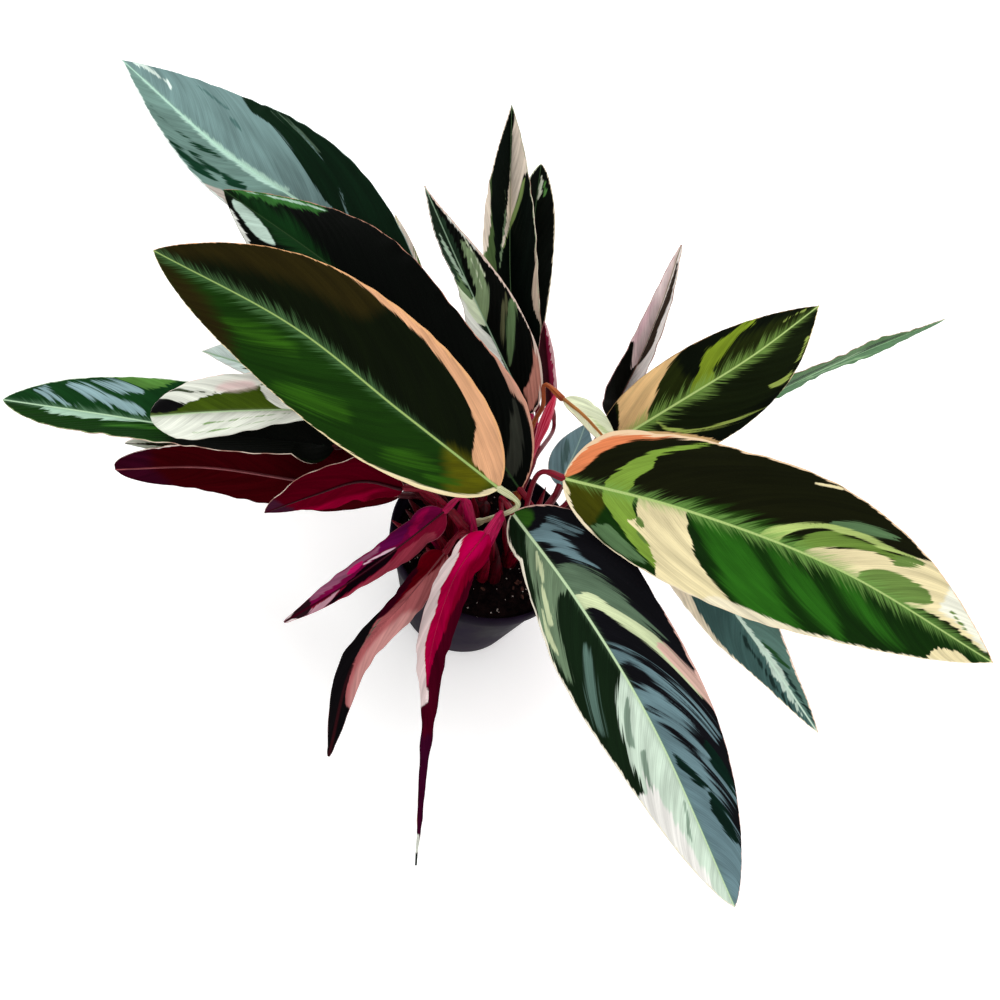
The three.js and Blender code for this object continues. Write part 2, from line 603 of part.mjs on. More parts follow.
addPart('pot', potGeometry(), 0x26202c, 0.45)
addPart('soil', soilGeometry(), 0x1c1512, 0.95)
shoots.forEach((shoot) => addPart(shoot.name, shootGeometry(shoot), crimson, 0.5))
leaves.forEach((leaf, index) => {
  addPart(leaf.name, bladeGeometry(leaf, 0.37 * index), leaf.colour, 0.35)
})

export default group
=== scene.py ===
import bpy
import math
import random
import numpy as np
from mathutils import Matrix, Vector, noise


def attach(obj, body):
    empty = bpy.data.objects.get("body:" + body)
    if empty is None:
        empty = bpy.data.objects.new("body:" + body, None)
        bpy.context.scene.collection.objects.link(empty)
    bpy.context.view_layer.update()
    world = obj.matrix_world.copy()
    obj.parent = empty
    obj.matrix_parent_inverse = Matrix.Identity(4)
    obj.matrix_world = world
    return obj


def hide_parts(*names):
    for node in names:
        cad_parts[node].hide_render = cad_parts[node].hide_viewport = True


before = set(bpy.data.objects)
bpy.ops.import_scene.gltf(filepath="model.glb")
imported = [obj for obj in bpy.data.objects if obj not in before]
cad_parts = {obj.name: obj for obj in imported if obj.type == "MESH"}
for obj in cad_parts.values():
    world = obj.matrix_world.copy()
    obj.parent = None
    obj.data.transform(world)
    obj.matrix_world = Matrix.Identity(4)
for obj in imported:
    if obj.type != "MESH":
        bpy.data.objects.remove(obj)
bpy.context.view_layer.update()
scene = bpy.context.scene
mm = 0.001

# the camera looks down at the plant from the front, with its head turned on its side a little
view = {"place": (-0.0014, -0.3323, 0.5498), "tilt": 38, "roll": 22, "lens": 32.4, "shiftX": 0.003}

cameraData = bpy.data.cameras.new("camera")
cameraData.lens = view["lens"]
cameraData.sensor_width = 36
cameraData.shift_x = view["shiftX"]
cameraData.clip_start = 0.01
camera = bpy.data.objects.new("camera", cameraData)
scene.collection.objects.link(camera)
camera.matrix_world = (Matrix.Translation(view["place"])
                       @ Matrix.Rotation(math.radians(view["tilt"]), 4, "X")
                       @ Matrix.Rotation(math.radians(view["roll"]), 4, "Z"))
scene.camera = camera
scene.view_settings.view_transform = "Standard"
scene.view_settings.look = "None"
print("camera set")


def linear(colour):
    # 0-255 screen colour to the linear value that shaders take
    parts = [c / 255 for c in colour]
    parts = [p / 12.92 if p <= 0.04045 else ((p + 0.055) / 1.055) ** 2.4 for p in parts]
    return (*parts, 1.0)


def along(value, t):
    # a value that is one number, or a list that runs evenly from the base to the tip
    if isinstance(value, (list, tuple)):
        return np.interp(t, np.linspace(0, 1, len(value)), value)
    return np.full_like(t, float(value))


def keyed(keys, t):
    return np.interp(t, [k[0] for k in keys], [k[1] for k in keys])


def ease(x, low, high):
    x = np.clip((x - low) / (high - low), 0, 1)
    return x * x * (3 - 2 * x)


def evenCurve(points, t):
    # smooth curve through points that lie evenly along it
    p = np.array(points, float)
    spans = len(p) - 1
    p = np.vstack([2 * p[0] - p[1], p, 2 * p[-1] - p[-2]])
    place = np.clip(t * spans, 0, spans - 1e-9)
    i = place.astype(int)
    f = (place - i)[:, None]
    a, b, c, d = p[i], p[i + 1], p[i + 2], p[i + 3]
    return 0.5 * (2 * b + (c - a) * f + (2 * a - 5 * b + 4 * c - d) * f ** 2
                  + (3 * b - a - 3 * c + d) * f ** 3)


def stalkCurve(points, steps=60):
    # smooth curve through unevenly spaced points, given back at even steps of length
    p = [np.array(q, float) for q in points]
    p = [2 * p[0] - p[1]] + p + [2 * p[-1] - p[-2]]
    out = []
    for i in range(len(p) - 3):
        a, b, c, d = p[i:i + 4]
        before, here, after = [max(np.linalg.norm(e), 1e-4) ** 0.5 for e in (b - a, c - b, d - c)]
        start = ((b - a) / before - (c - a) / (before + here) + (c - b) / here) * here
        end = ((c - b) / here - (d - b) / (here + after) + (d - c) / after) * here
        for f in np.linspace(0, 1, 24, endpoint=False):
            out.append(b + start * f + (3 * c - 3 * b - 2 * start - end) * f ** 2
                       + (2 * b - 2 * c + start + end) * f ** 3)
    out.append(p[-2])
    out = np.array(out)
    walked = np.concatenate([[0], np.cumsum(np.linalg.norm(np.diff(out, axis=0), axis=1))])
    stops = np.linspace(0, walked[-1], steps + 1)
    return np.stack([np.interp(stops, walked, out[:, k]) for k in range(3)], 1), walked[-1]


# materials

def node(tree, kind, inputs=None, **settings):
    made = tree.nodes.new("ShaderNode" + kind)
    for key, value in settings.items():
        setattr(made, key, value)
    for key, value in (inputs or {}).items():
        if isinstance(value, bpy.types.NodeSocket):
            tree.links.new(value, made.inputs[key])
        else:
            made.inputs[key].default_value = value
    return made


def calc(tree, operation, *values):
    return node(tree, "Math", dict(enumerate(values)), operation=operation).outputs[0]


def fade(tree, value, low, high, bottom=0.0, top=1.0):
    made = node(tree, "MapRange", {0: value, 1: low, 2: high, 3: bottom, 4: top})
    made.interpolation_type = "SMOOTHSTEP"
    return made.outputs[0]


def mixed(tree, factor, first, second):
    made = node(tree, "Mix", data_type="RGBA")
    for socket, value in ((made.inputs[0], factor), (made.inputs[6], first), (made.inputs[7], second)):
        if isinstance(value, bpy.types.NodeSocket):
            tree.links.new(value, socket)
        else:
            socket.default_value = value
    return made.outputs[2]


def newMaterial(name, roughness=0.5, specular=0.3):
    material = bpy.data.materials.new(name)
    material.use_nodes = True
    tree = material.node_tree
    shader = tree.nodes["Principled BSDF"]
    shader.inputs["Roughness"].default_value = roughness
    shader.inputs["Specular IOR Level"].default_value = specular
    return material, tree, shader


def place(tree, x, y, z=0.0):
    return node(tree, "CombineXYZ", {0: x, 1: y, 2: z}).outputs[0]


def noiseAt(tree, vector, scale=1.0, detail=2.0, roughness=0.5):
    made = node(tree, "TexNoise", {"Vector": vector, "Scale": scale, "Detail": detail,
                                   "Roughness": roughness})
    return made.outputs["Fac"]


leafSkin = {"streakAcross": 2.1, "streakAlong": 0.3, "veinTurns": 34.0, "roughness": (0.4, 0.56),
            "specular": 0.025, "bump": 0.2, "depth": 0.9}


def makeSkin(name, seed, skin):
    # skin: left, right, paints (tint, softness, raggedness), core, feather, edgeLeft, edgeRight
    material, tree, shader = newMaterial(name, specular=skin["specular"])
    uv = node(tree, "UVMap", uv_map="veins").outputs[0]
    split = node(tree, "SeparateXYZ", {0: uv})
    q, s = split.outputs[0], split.outputs[1]
    away = calc(tree, "ABSOLUTE", s)
    lines = node(tree, "Attribute", attribute_name="lines")
    lineParts = node(tree, "SeparateColor", {0: lines.outputs["Color"]})
    coreWidth, featherWidth, edgeWidth = lineParts.outputs
    edgeAway = lines.outputs["Alpha"]
    depths = []
    for k in range(0, len(skin["paints"]), 4):
        paints = node(tree, "Attribute", attribute_name="paints_%d" % (k // 4))
        depths += node(tree, "SeparateColor", {0: paints.outputs["Color"]}).outputs[:]
        depths.append(paints.outputs["Alpha"])

    side = fade(tree, s, -0.001, 0.001)
    streakPlace = place(tree, calc(tree, "MULTIPLY", q, leafSkin["streakAcross"]),
                        calc(tree, "MULTIPLY", s, leafSkin["streakAlong"]), seed)
    streak = fade(tree, noiseAt(tree, streakPlace, 1, 4, 0.6), 0.28, 0.72)
    finePlace = place(tree, calc(tree, "MULTIPLY", q, 9.0), calc(tree, "MULTIPLY", s, 0.9), seed + 5)
    fine = noiseAt(tree, finePlace, 1, 3, 0.6)
    cloudPlace = place(tree, calc(tree, "MULTIPLY", q, 0.7), calc(tree, "MULTIPLY", s, 0.6), seed + 9)
    cloud = noiseAt(tree, cloudPlace, 1, 2, 0.5)
    wander = calc(tree, "ADD", calc(tree, "MULTIPLY", calc(tree, "SUBTRACT", streak, 0.5), 1.5),
                  calc(tree, "MULTIPLY", calc(tree, "SUBTRACT", fine, 0.5), 1.6))

    colour = mixed(tree, side, linear(skin["left"]), linear(skin["right"]))
    for k, (tint, soft, ragged) in enumerate(skin["paints"]):
        swing = calc(tree, "MULTIPLY", wander, ragged / 10 * (1 if k % 2 else -1))
        mask = fade(tree, calc(tree, "ADD", depths[k], swing), -soft / 10, soft / 10)
        colour = mixed(tree, mask, colour, linear(tint))
    shade = calc(tree, "MULTIPLY", fade(tree, streak, 0, 1, 0.9, 1.1),
                 fade(tree, cloud, 0.3, 0.7, 0.86, 1.16))
    shade = calc(tree, "MULTIPLY", shade, fade(tree, fine, 0.3, 0.7, 0.93, 1.07))
    shade = calc(tree, "MULTIPLY", shade, leafSkin["depth"])
    colour = node(tree, "HueSaturation", {"Value": shade, "Color": colour}).outputs[0]

    # pale barbs that leave the midrib at a narrow angle
    barbs = calc(tree, "ADD", fade(tree, fine, 0.34, 0.74), calc(tree, "MULTIPLY", streak, 0.7))
    reach = calc(tree, "MULTIPLY", featherWidth, calc(tree, "ADD", barbs, 0.1))
    feather = fade(tree, calc(tree, "SUBTRACT", reach, away), -0.2, 0.5)
    feather = calc(tree, "MULTIPLY", feather, skin.get("featherAmount", 0.7))
    colour = mixed(tree, feather, colour, linear(skin["feather"]))
    core = fade(tree, calc(tree, "SUBTRACT", coreWidth, away), -0.03, 0.03)
    colour = mixed(tree, core, colour, linear(skin["core"]))

    jitter = calc(tree, "MULTIPLY", calc(tree, "SUBTRACT", streak, 0.5),
                  calc(tree, "ADD", calc(tree, "MULTIPLY", edgeWidth, 0.9), 0.02))
    margin = calc(tree, "ADD", calc(tree, "SUBTRACT", edgeWidth, edgeAway), jitter)
    edgeTint = mixed(tree, side, linear(skin["edgeLeft"]), linear(skin["edgeRight"]))
    colour = mixed(tree, fade(tree, margin, 0.0, 0.04), colour, edgeTint)

    vein = calc(tree, "SINE", calc(tree, "ADD", calc(tree, "MULTIPLY", q, leafSkin["veinTurns"]),
                                   calc(tree, "MULTIPLY", cloud, 9.0)))
    colour = node(tree, "HueSaturation", {"Value": fade(tree, vein, -1, 1, 0.96, 1.04),
                                          "Color": colour}).outputs[0]
    tree.links.new(colour, shader.inputs["Base Color"])
    gloss = fade(tree, calc(tree, "ADD", streak, cloud), 0.3, 1.5, *leafSkin["roughness"])
    tree.links.new(gloss, shader.inputs["Roughness"])
    height = calc(tree, "ADD", calc(tree, "MULTIPLY", vein, 0.6), calc(tree, "MULTIPLY", fine, 1.6))
    bump = node(tree, "Bump", {"Strength": leafSkin["bump"], "Distance": 0.0003, "Height": height})
    tree.links.new(bump.outputs[0], shader.inputs["Normal"])
    return material


def brightness(colour):
    return sum(colour) / 3


def underTint(colour):
    # pale parts of a blade are rose below, and green parts are wine red
    if brightness(colour) > 165:
        return (190, 112, 120)
    if brightness(colour) > 90:
        return (126, 24, 56)
    return (84, 6, 32)


def upperTint(colour):
    if brightness(colour) > 140:
        return (222, 218, 190)
    if brightness(colour) > 85:
        return (104, 138, 96)
    return (16, 42, 16)


def skinSides(leaf):
    # one side of each blade is given, and the other follows from it
    given = {"core": (170, 200, 130), "feather": (70, 110, 50), "edgeLeft": (215, 190, 160), **leaf["skin"]}
    given.setdefault("edgeRight", given["edgeLeft"])
    given["specular"] = 0.0 if leaf.get("seen") == "under" else leafSkin["specular"]
    given["paints"] = [paint[:3] for paint in leaf["paints"]]
    if leaf.get("seen") == "under":
        upper = {"specular": leafSkin["specular"], "left": (12, 38, 12), "right": (14, 44, 14),
                 "core": (160, 200, 130), "feather": (60, 105, 40), "edgeLeft": (225, 205, 170),
                 "edgeRight": (225, 200, 165),
                 "paints": [(upperTint(tint), *rest) for tint, *rest in given["paints"]]}
        return upper, given
    under = {"specular": 0.0, "left": (76, 6, 30), "right": (80, 6, 34), "core": (140, 52, 62),
             "feather": (100, 14, 44), "edgeLeft": (200, 124, 124), "edgeRight": (196, 120, 120),
             "paints": [(underTint(tint), *rest) for tint, *rest in given["paints"]]}
    return given, under


def makeEdgeMaterial():
    # thin reddish rim of the blades
    material, tree, shader = newMaterial("leaf_rim", 0.5, 0.2)
    spot = node(tree, "TexCoord").outputs["Object"]
    rim = mixed(tree, fade(tree, noiseAt(tree, spot, 90, 2), 0.4, 0.6), linear((152, 112, 98)),
                linear((220, 202, 184)))
    tree.links.new(rim, shader.inputs["Base Color"])
    return material


def makeRibMaterial(name, tint):
    material, tree, shader = newMaterial(name, 0.5, 0.12)
    spot = node(tree, "TexCoord").outputs["Object"]
    deep = [0.75 * part for part in tint]
    rib = mixed(tree, fade(tree, noiseAt(tree, spot, 60, 3), 0.35, 0.65), linear(deep), linear(tint))
    tree.links.new(rib, shader.inputs["Base Color"])
    return material


rimMaterial = makeEdgeMaterial()


# mesh helpers

def freshGrid(name, columns, rows):
    # a flat grid whose points are then moved: x runs across, y along
    bpy.ops.object.select_all(action="DESELECT")
    bpy.ops.mesh.primitive_grid_add(x_subdivisions=columns, y_subdivisions=rows, size=2)
    piece = bpy.context.object
    piece.name = name
    piece.data.name = name
    flat = np.empty(len(piece.data.vertices) * 3)
    piece.data.vertices.foreach_get("co", flat)
    flat = flat.reshape(-1, 3)
    return piece, flat[:, 0], (flat[:, 1] + 1) / 2


def movePoints(piece, points):
    piece.data.vertices.foreach_set("co", (np.asarray(points) * mm).ravel())
    piece.data.update()


def paintUv(piece, x, y):
    layer = piece.data.uv_layers.get("veins") or piece.data.uv_layers.new(name="veins")
    piece.data.uv_layers.active = layer
    corners = np.empty(len(piece.data.loops), int)
    piece.data.loops.foreach_get("vertex_index", corners)
    layer.data.foreach_set("uv", np.stack([x, y], 1)[corners].ravel())


def paintPoints(piece, name, columns):
    layer = piece.data.attributes.new(name, "FLOAT_COLOR", "POINT")
    layer.data.foreach_set("color", np.stack(columns, 1).astype(np.float32).ravel())


def onlySelect(*pieces):
    bpy.ops.object.select_all(action="DESELECT")
    for piece in pieces:
        piece.select_set(True)
    bpy.context.view_layer.objects.active = pieces[0]


def applyModifier(piece, kind, **settings):
    onlySelect(piece)
    bpy.ops.object.modifier_add(type=kind)
    modifier = piece.modifiers[-1]
    for key, value in settings.items():
        setattr(modifier, key, value)
    bpy.ops.object.modifier_apply(modifier=modifier.name)


def weld(piece, distance=0.00002):
    onlySelect(piece)
    bpy.ops.object.mode_set(mode="EDIT")
    bpy.ops.mesh.select_all(action="SELECT")
    bpy.ops.mesh.remove_doubles(threshold=distance)
    bpy.ops.mesh.normals_make_consistent(inside=False)
    bpy.ops.object.mode_set(mode="OBJECT")


def smooth(piece):
    onlySelect(piece)
    bpy.ops.object.shade_smooth()


def joinPieces(pieces, name):
    onlySelect(*pieces)
    if len(pieces) > 1:
        bpy.ops.object.join()
    joined = bpy.context.view_layer.objects.active
    joined.name = name
    joined.data.name = name
    return joined


def settle(piece, slot, *nodes):
    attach(piece, "root")
    if nodes:
        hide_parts(*nodes)


def makeRod(name, points, radii, sides, material, squeeze=None):
    # a round rod along points in mm, with radii keyed by the share of its length
    path = np.asarray(points, float)
    rings = len(path) - 1
    piece, x, v = freshGrid(name, sides, rings)
    row = np.rint(v * rings).astype(int)
    forward = np.gradient(path, axis=0)
    forward /= np.linalg.norm(forward, axis=1)[:, None]
    sideways = np.zeros_like(path)
    side = np.array([0.0, 0.0, 1.0])
    if abs(forward[0][2]) > 0.95:
        side = np.array([1.0, 0.0, 0.0])
    for i in range(len(path)):
        side = side - side.dot(forward[i]) * forward[i]
        side /= np.linalg.norm(side)
        sideways[i] = side
    other = np.cross(forward, sideways)
    radius = keyed(radii, row / rings)
    angle = (x + 1) * math.pi
    if squeeze is not None:
        radius = radius * squeeze(angle, row / rings)
    ring = np.cos(angle)[:, None] * sideways[row] + np.sin(angle)[:, None] * other[row]
    movePoints(piece, path[row] + ring * radius[:, None])
    walked = np.concatenate([[0], np.cumsum(np.linalg.norm(np.diff(path, axis=0), axis=1))])
    paintUv(piece, walked[row] / 10, x * 0.5)
    weld(piece, 0.00001)
    piece.data.materials.append(material)
    smooth(piece)
    return piece


# blades
# midrib and width are in mm and facing is the way the upper side looks, from base to tip; left and
# right scale each half's width, fold and curl are in degrees, wave is the edge's rise and fall in mm.
# peak is where the blade is widest, and a lower blunt gives a rounder tip. coreWidth, featherWidth
# and the margins are in mm, keyed by the way from base to tip. A small leaf has a coarser mesh, and
# one seen from under has its skin and paints on the lower side. A paint is (tint, softness,
# raggedness, outlines): softness and raggedness are in mm, and an outline's corners are hundredths
# of the way from base to tip and from the midrib to the edge, with the left half below zero.
leaves = {
    "leaf_left_top": {
        "width": 84, "peak": 0.45, "blunt": 0.85, "left": [0.78, 0.8, 0.85, 0.9, 0.95],
        "foldLeft": 8, "foldRight": 14, "curl": 22, "slot": "deep_green_leaf",
        "midrib": [[-3, -18, 158], [-67, -20, 190], [-133, -13, 212], [-208, -14, 226]],
        "facing": [[0.4, -0.6, 0.7], [0.3, -0.6, 0.8], [0.2, -0.6, 0.8], [0.1, -0.7, 0.7]],
        "coreWidth": [(0, 0.7), (1, 0.25)],
        "featherWidth": [(0, 0.5), (0.2, 1), (0.45, 4), (0.75, 5), (1, 3)],
        "marginLeft": [(0, 1.5), (0.35, 1.2), (0.5, 0.5), (1, 0.4)],
        "marginRight": [(0, 2), (0.5, 1.5), (0.7, 0.6), (1, 0.4)],
        # the right half's near-black green is painted shade, darker than the left half's own green
        "skin": {"left": (20, 50, 7), "right": (9, 16, 3), "core": (152, 178, 104),
                 "feather": (84, 124, 76), "featherAmount": 0.55, "edgeLeft": (232, 214, 168),
                 "edgeRight": (222, 168, 118)},
        "paints": [
            ((84, 84, 8), 5, 2, [(3, -75), (10, -75), (15, -30), (18, 0), (10, 12), (3, 10)]),
            ((42, 84, 14), 4, 3, [(17, -45), (24, -70), (30, -72), (27, -50), (20, -40)],
             [(10, -60), (15, -72), (18, -68), (13, -55)],
             [(42, -60), (52, -85), (62, -90), (55, -65), (45, -50)],
             [(62, -30), (75, -65), (80, -60), (70, -25)]),
            ((36, 30, 6), 5, 2, [(55, 60), (70, 55), (85, 50), (95, 40), (100, 110), (55, 110)],
             [(75, -90), (85, -50), (97, -30), (100, -110), (75, -110)]),
            ((218, 164, 124), 0.5, 1.2,
             [(-5, 6), (3, 6), (10, 10), (13, 35), (15.5, 60), (18, 65), (20, 72), (24, 78), (30, 82),
              (40, 88), (50, 90), (56, 93), (65, 105), (30, 115), (-5, 115)]),
            ((232, 218, 176), 0.5, 1,
             [(1, -20), (3.5, -78), (8, -86), (15, -90), (25, -94), (32, -100), (40, -112), (-4, -115)])],
    },
    "leaf_left_dark": {
        "width": 84, "peak": 0.52, "blunt": 0.9, "foldLeft": 14, "foldRight": 10, "curl": 28,
        "right": [1, 1, 0.97, 0.88, 0.8, 0.82, 0.9, 0.97, 1, 1, 1],
        "slot": "black_green_leaf",
        "midrib": [[9, 13, 126], [-51, 41, 154], [-132, 70, 178], [-225, 91, 190]],
        "facing": [[0, -0.7, 0.7], [0, -0.7, 0.8], [0, -0.6, 0.8], [0, -0.4, 0.9]],
        "coreWidth": [(0, 0.6), (1, 0.25)], "featherWidth": [(0, 0), (0.5, 0.5), (0.8, 3), (1, 3)],
        "marginLeft": [(0, 0.8), (1, 0.4)], "marginRight": [(0, 1.5), (0.3, 1.5), (0.4, 0.6), (1, 0.4)],
        "skin": {"left": (3, 6, 3), "right": (3, 5, 3), "core": (40, 62, 34), "feather": (14, 44, 16),
                 "edgeLeft": (90, 100, 70), "edgeRight": (200, 146, 124)},
        "paints": [
            # painted sheen: a faint grey haze near the base of the right half
            ((44, 46, 39), 1, 2.5,
             [(5, -10), (12, 30), (20, 70), (22, 80), (15, 75), (6, 50), (4, 10)]),
            ((12, 46, 16), 4, 3,
             [(72, -5), (80, -25), (86, -30), (93, 0), (97, 30), (97, 60), (90, 50), (80, 20)]),
            ((50, 104, 44), 1, 2.5, [(80, 84), (88, 62), (95, 56), (98, 70), (98, 104), (84, 104)]),
            ((160, 190, 170), 0.4, 0.6, [(80, 90), (88, 84), (96, 86), (88, 92)]),
            # painted sheen: a pale mint patch near the tip of the left half
            ((180, 204, 190), 0.5, 0.5,
             [(84, -40), (88, -60), (96, -60), (97, -20), (95, -5), (90, -15), (86, -30)]),
            ((3, 6, 3), 0.5, 1.5, [(88, -80), (95, -85), (95.5, -70), (90, -65)]),
            ((202, 152, 130), 0.6, 1.5,
             [(4, 100), (12, 96), (19, 91), (24, 86), (28, 90), (34, 97), (34, 112), (4, 112)]),
            ((222, 224, 216), 0.5, 1, [(88, -112), (89, -86), (95, -86), (97, -112)])],
    },
    "leaf_left_rear": {
        "width": 76, "peak": 0.52, "blunt": 1.05, "left": [0.8, 0.8, 0.8, 0.72, 0.68, 0.66],
        "right": [1.06, 1.1, 1.14, 1.1, 1.06, 1.06], "foldLeft": 25, "foldRight": 0, "curl": 18,
        "slot": "grey_green_leaf",
        "midrib": [[-95, 120, 120], [-172, 125, 168], [-242, 122, 193], [-328, 155, 203]],
        "facing": [[0.3, -0.7, 0.6], [0.3, -0.7, 0.6], [0, -0.7, 0.7], [-0.2, -0.6, 0.8]],
        "coreWidth": [(0, 0.9), (0.6, 0.9), (1, 0.3)], "featherWidth": [(0, 0.5), (0.45, 2), (1, 1)],
        "marginLeft": [(0, 0.4), (0.5, 0.6), (0.6, 1.2), (1, 0.8)], "marginRight": [(0, 0.5), (1, 0.4)],
        # the grey-teal of both halves is a painted sheen over the leaf's dark green, which shows where the
        # dark green paints lie
        "skin": {"left": (110, 141, 132), "right": (114, 143, 141), "core": (178, 216, 196),
                 "feather": (158, 196, 178), "edgeLeft": (222, 232, 226), "edgeRight": (150, 172, 164)},
        "paints": [
            ((182, 218, 202), 0.9, 1.6,
             [(48, -5), (54, -9), (62, -5), (70, -6), (80, -4), (92, -3), (92, 3), (80, 2),
              (70, 4), (60, 4), (52, 6), (46, 5)]),
            ((10, 32, 17), 0.4, 1.2,
             [(30, 30), (36, 24), (43, 38), (51, 58), (59, 74), (67, 80), (73, 105), (63, 108),
              (54, 90), (46, 76), (38, 58)],
             [(-2, 20), (28, 34), (34, 52), (40, 64), (46, 79), (52, 89), (60, 96), (63, 114), (-2, 114)]),
            ((84, 108, 88), 0.8, 2.5, [(44, 76), (50, 84), (58, 92), (62, 98), (54, 92), (47, 82)]),
            ((15, 52, 34), 0.8, 2.2,
             [(64, -15), (70, -40), (76, -50), (84, -70), (86, -80), (80, -60), (74, -40), (68, -20)],
             [(62, -75), (68, -90), (78, -95), (75, -80), (66, -68)],
             [(56, -45), (60, -60), (63, -50), (58, -40)], [(63, -55), (70, -68), (72, -62), (65, -50)]),
            ((200, 190, 180), 0.6, 1, [(57, -105), (60, -80), (62, -85), (66, -108)]),
            ((213, 230, 220), 0.5, 1.5,
             [(86, 40), (90, 50), (94, 60), (98, 90), (99, 112), (96, 112), (92, 70), (87, 50)]),
            ((80, 114, 110), 0.5, 1, [(65, 44), (67, 43), (70.5, 52), (69, 53)],
             [(72, 64), (74, 64), (82, 79), (81, 81)])],
    },
    "leaf_right_top": {
        "width": 86, "peak": 0.42, "blunt": 0.95, "left": [1.32, 0.92, 0.86, 0.93, 0.95, 0.95],
        "right": [0.86, 0.86, 0.88, 0.93, 0.98, 0.98, 1, 1.02], "foldLeft": 8, "foldRight": 10,
        "curl": 20, "slot": "deep_green_leaf",
        "midrib": [[28, -8, 175], [91, -29, 212], [163, -44, 230], [247, -55, 222]],
        "facing": [[-0.6, -0.6, 0.6], [-0.4, -0.6, 0.7], [-0.2, -0.7, 0.7], [0, -0.7, 0.7]],
        "coreWidth": [(0, 0.8), (1, 0.3)],
        "featherWidth": [(0, 2), (0.15, 4.5), (0.6, 5.5), (0.8, 5), (1, 2)],
        "marginLeft": [(0, 3), (0.2, 2.5), (0.35, 1), (1, 0.7)],
        "marginRight": [(0, 4), (0.08, 2), (0.15, 0.8), (1, 0.7)],
        # the left half's dark olive is painted shade, darker than the right half's own green
        "skin": {"left": (17, 19, 4), "right": (14, 42, 6), "core": (166, 190, 116),
                 "feather": (110, 152, 74), "edgeLeft": (226, 196, 160), "edgeRight": (232, 218, 186)},
        "paints": [
            ((58, 60, 6), 2, 2, [(0, 0), (10, 0), (13, 40), (10, 90), (5, 100), (0, 60)]),
            ((36, 70, 16), 4, 4, [(20, 0), (34, -14), (60, -14), (90, -10), (96, 0)]),
            ((38, 94, 20), 3, 2.5,
             [(35, 5), (40, 35), (46, 70), (54, 92), (66, 100), (60, 70), (52, 35), (45, 10)],
             [(52, 10), (58, 40), (66, 70), (74, 95), (70, 60), (62, 25)],
             [(66, 10), (72, 40), (80, 70), (85, 85), (80, 50), (72, 15)]),
            ((14, 38, 8), 1, 2, [(34, 20), (37, 25), (41, 55), (46, 84), (41, 70), (36, 45)]),
            ((84, 114, 76), 0.6, 2, [(61, -52), (65, -70), (70, -82), (73, -85), (70, -68), (66, -55)],
             [(11, 90), (14, 65), (16, 60), (22, 75), (28, 88), (20, 96)]),
            ((98, 126, 52), 0.6, 2,
             [(55, 0), (57, -15), (60, -35), (66, -50), (72, -60), (76, -72), (75, -60), (68, -40),
              (62, -20), (58, 0)]),
            ((122, 154, 58), 0.4, 1.3,
             [(11, 0), (12, -18), (15, -38), (17, -52), (21.5, -74), (25, -81), (30, -92), (35, -104),
              (27, -77), (22.5, -65), (22, -47), (19, -25), (16, 0)],
             [(11, 0), (12, 20), (15, 40), (19, 60), (25, 80), (31, 90), (29, 75), (26, 55),
              (22, 35), (20, 15), (18, 0)]),
            ((170, 190, 110), 0.4, 0.8,
             [(46, 0), (50, -10), (56, -35), (60, -48), (64, -55), (70, -65), (75, -75), (79, -90),
              (77, -78), (72, -60), (66, -50), (60, -40), (55, -20), (50, 0)]),
            ((222, 130, 84), 0.6, 1.2,
             [(-4, -8), (3, -20), (5, -36), (7, -52), (9, -62), (12, -72), (16, -84), (21, -92),
              (27, -100), (33, -114), (-4, -116)]),
            ((228, 214, 168), 0.4, 1.3,
             [(56, 0), (60, -10), (66, -30), (70, -45), (75, -55), (76, -70), (79, -95), (82, -112),
              (97, -112), (97, -45), (90, -32), (85, -20), (80, -5), (70, 0)],
             [(55.5, -88), (60, -95), (60, -100), (56, -92)],
             [(-2, 40), (2, 50), (4, 85), (5, 110), (-2, 110)],
             [(19, 0), (22, 30), (20, 42), (24, 52), (27, 65), (30, 85), (33, 112), (56, 112),
              (48, 85), (42, 70), (37, 45), (34, 20), (30, 2)],
             [(89.5, 60), (92, 45), (95, 55), (97, 112), (90, 112)]),
            ((232, 232, 214), 1, 1.5, [(86, -40), (90, -50), (97, -60), (97, -112), (86, -112)]),
            ((230, 220, 190), 0.5, 1,
             [(44, 90), (50, 87), (56, 89), (64, 94), (74, 97), (86, 98), (92, 96), (92, 114), (44, 114)]),
            ((100, 128, 62), 0.5, 1.5,
             [(70, -5), (72, -25), (76, -40), (80, -50), (83, -52), (84, -40), (83, -25), (80, -10),
              (75, -2)],
             [(74, -60), (78, -85), (79, -80), (75, -50)], [(88, -60), (92, -58), (91, -52), (88.5, -55)],
             [(22, 30), (24, 35), (24, 45), (22, 42)], [(23, 50), (26, 62), (26, 66), (23.5, 56)])],
    },
    "leaf_front_right": {
        "width": 72, "peak": 0.45, "blunt": 0.8, "left": [1.1, 1.1, 1.08, 0.97, 0.96, 1, 1.05, 1.1],
        "right": [0.84, 0.5, 0.64, 0.8, 0.84, 0.84, 0.84, 0.84], "fold": 14, "curl": 16,
        "slot": "grey_green_leaf",
        "midrib": [[10, -9, 130], [59, -65, 152], [116, -115, 145], [186, -168, 104]],
        "facing": [[-0.7, -0.3, 0.7], [-0.4, -0.3, 0.8], [-0.1, -0.6, 0.8], [0, -0.6, 0.8]],
        "coreWidth": [(0, 0.9), (1, 0.3)], "featherWidth": [(0, 0.8), (0.3, 1.5), (1, 1)],
        "marginLeft": [(0, 1.6), (0.1, 0.8), (0.2, 0.2), (0.45, 0.2), (0.5, 1.2), (0.62, 1.2),
                       (0.7, 0.3), (1, 0.4)],
        "marginRight": [(0, 1.6), (0.1, 1.8), (0.3, 1.2), (0.6, 1), (1, 0.8)],
        "skin": {"left": (12, 12, 16), "right": (14, 30, 14), "core": (186, 210, 168),
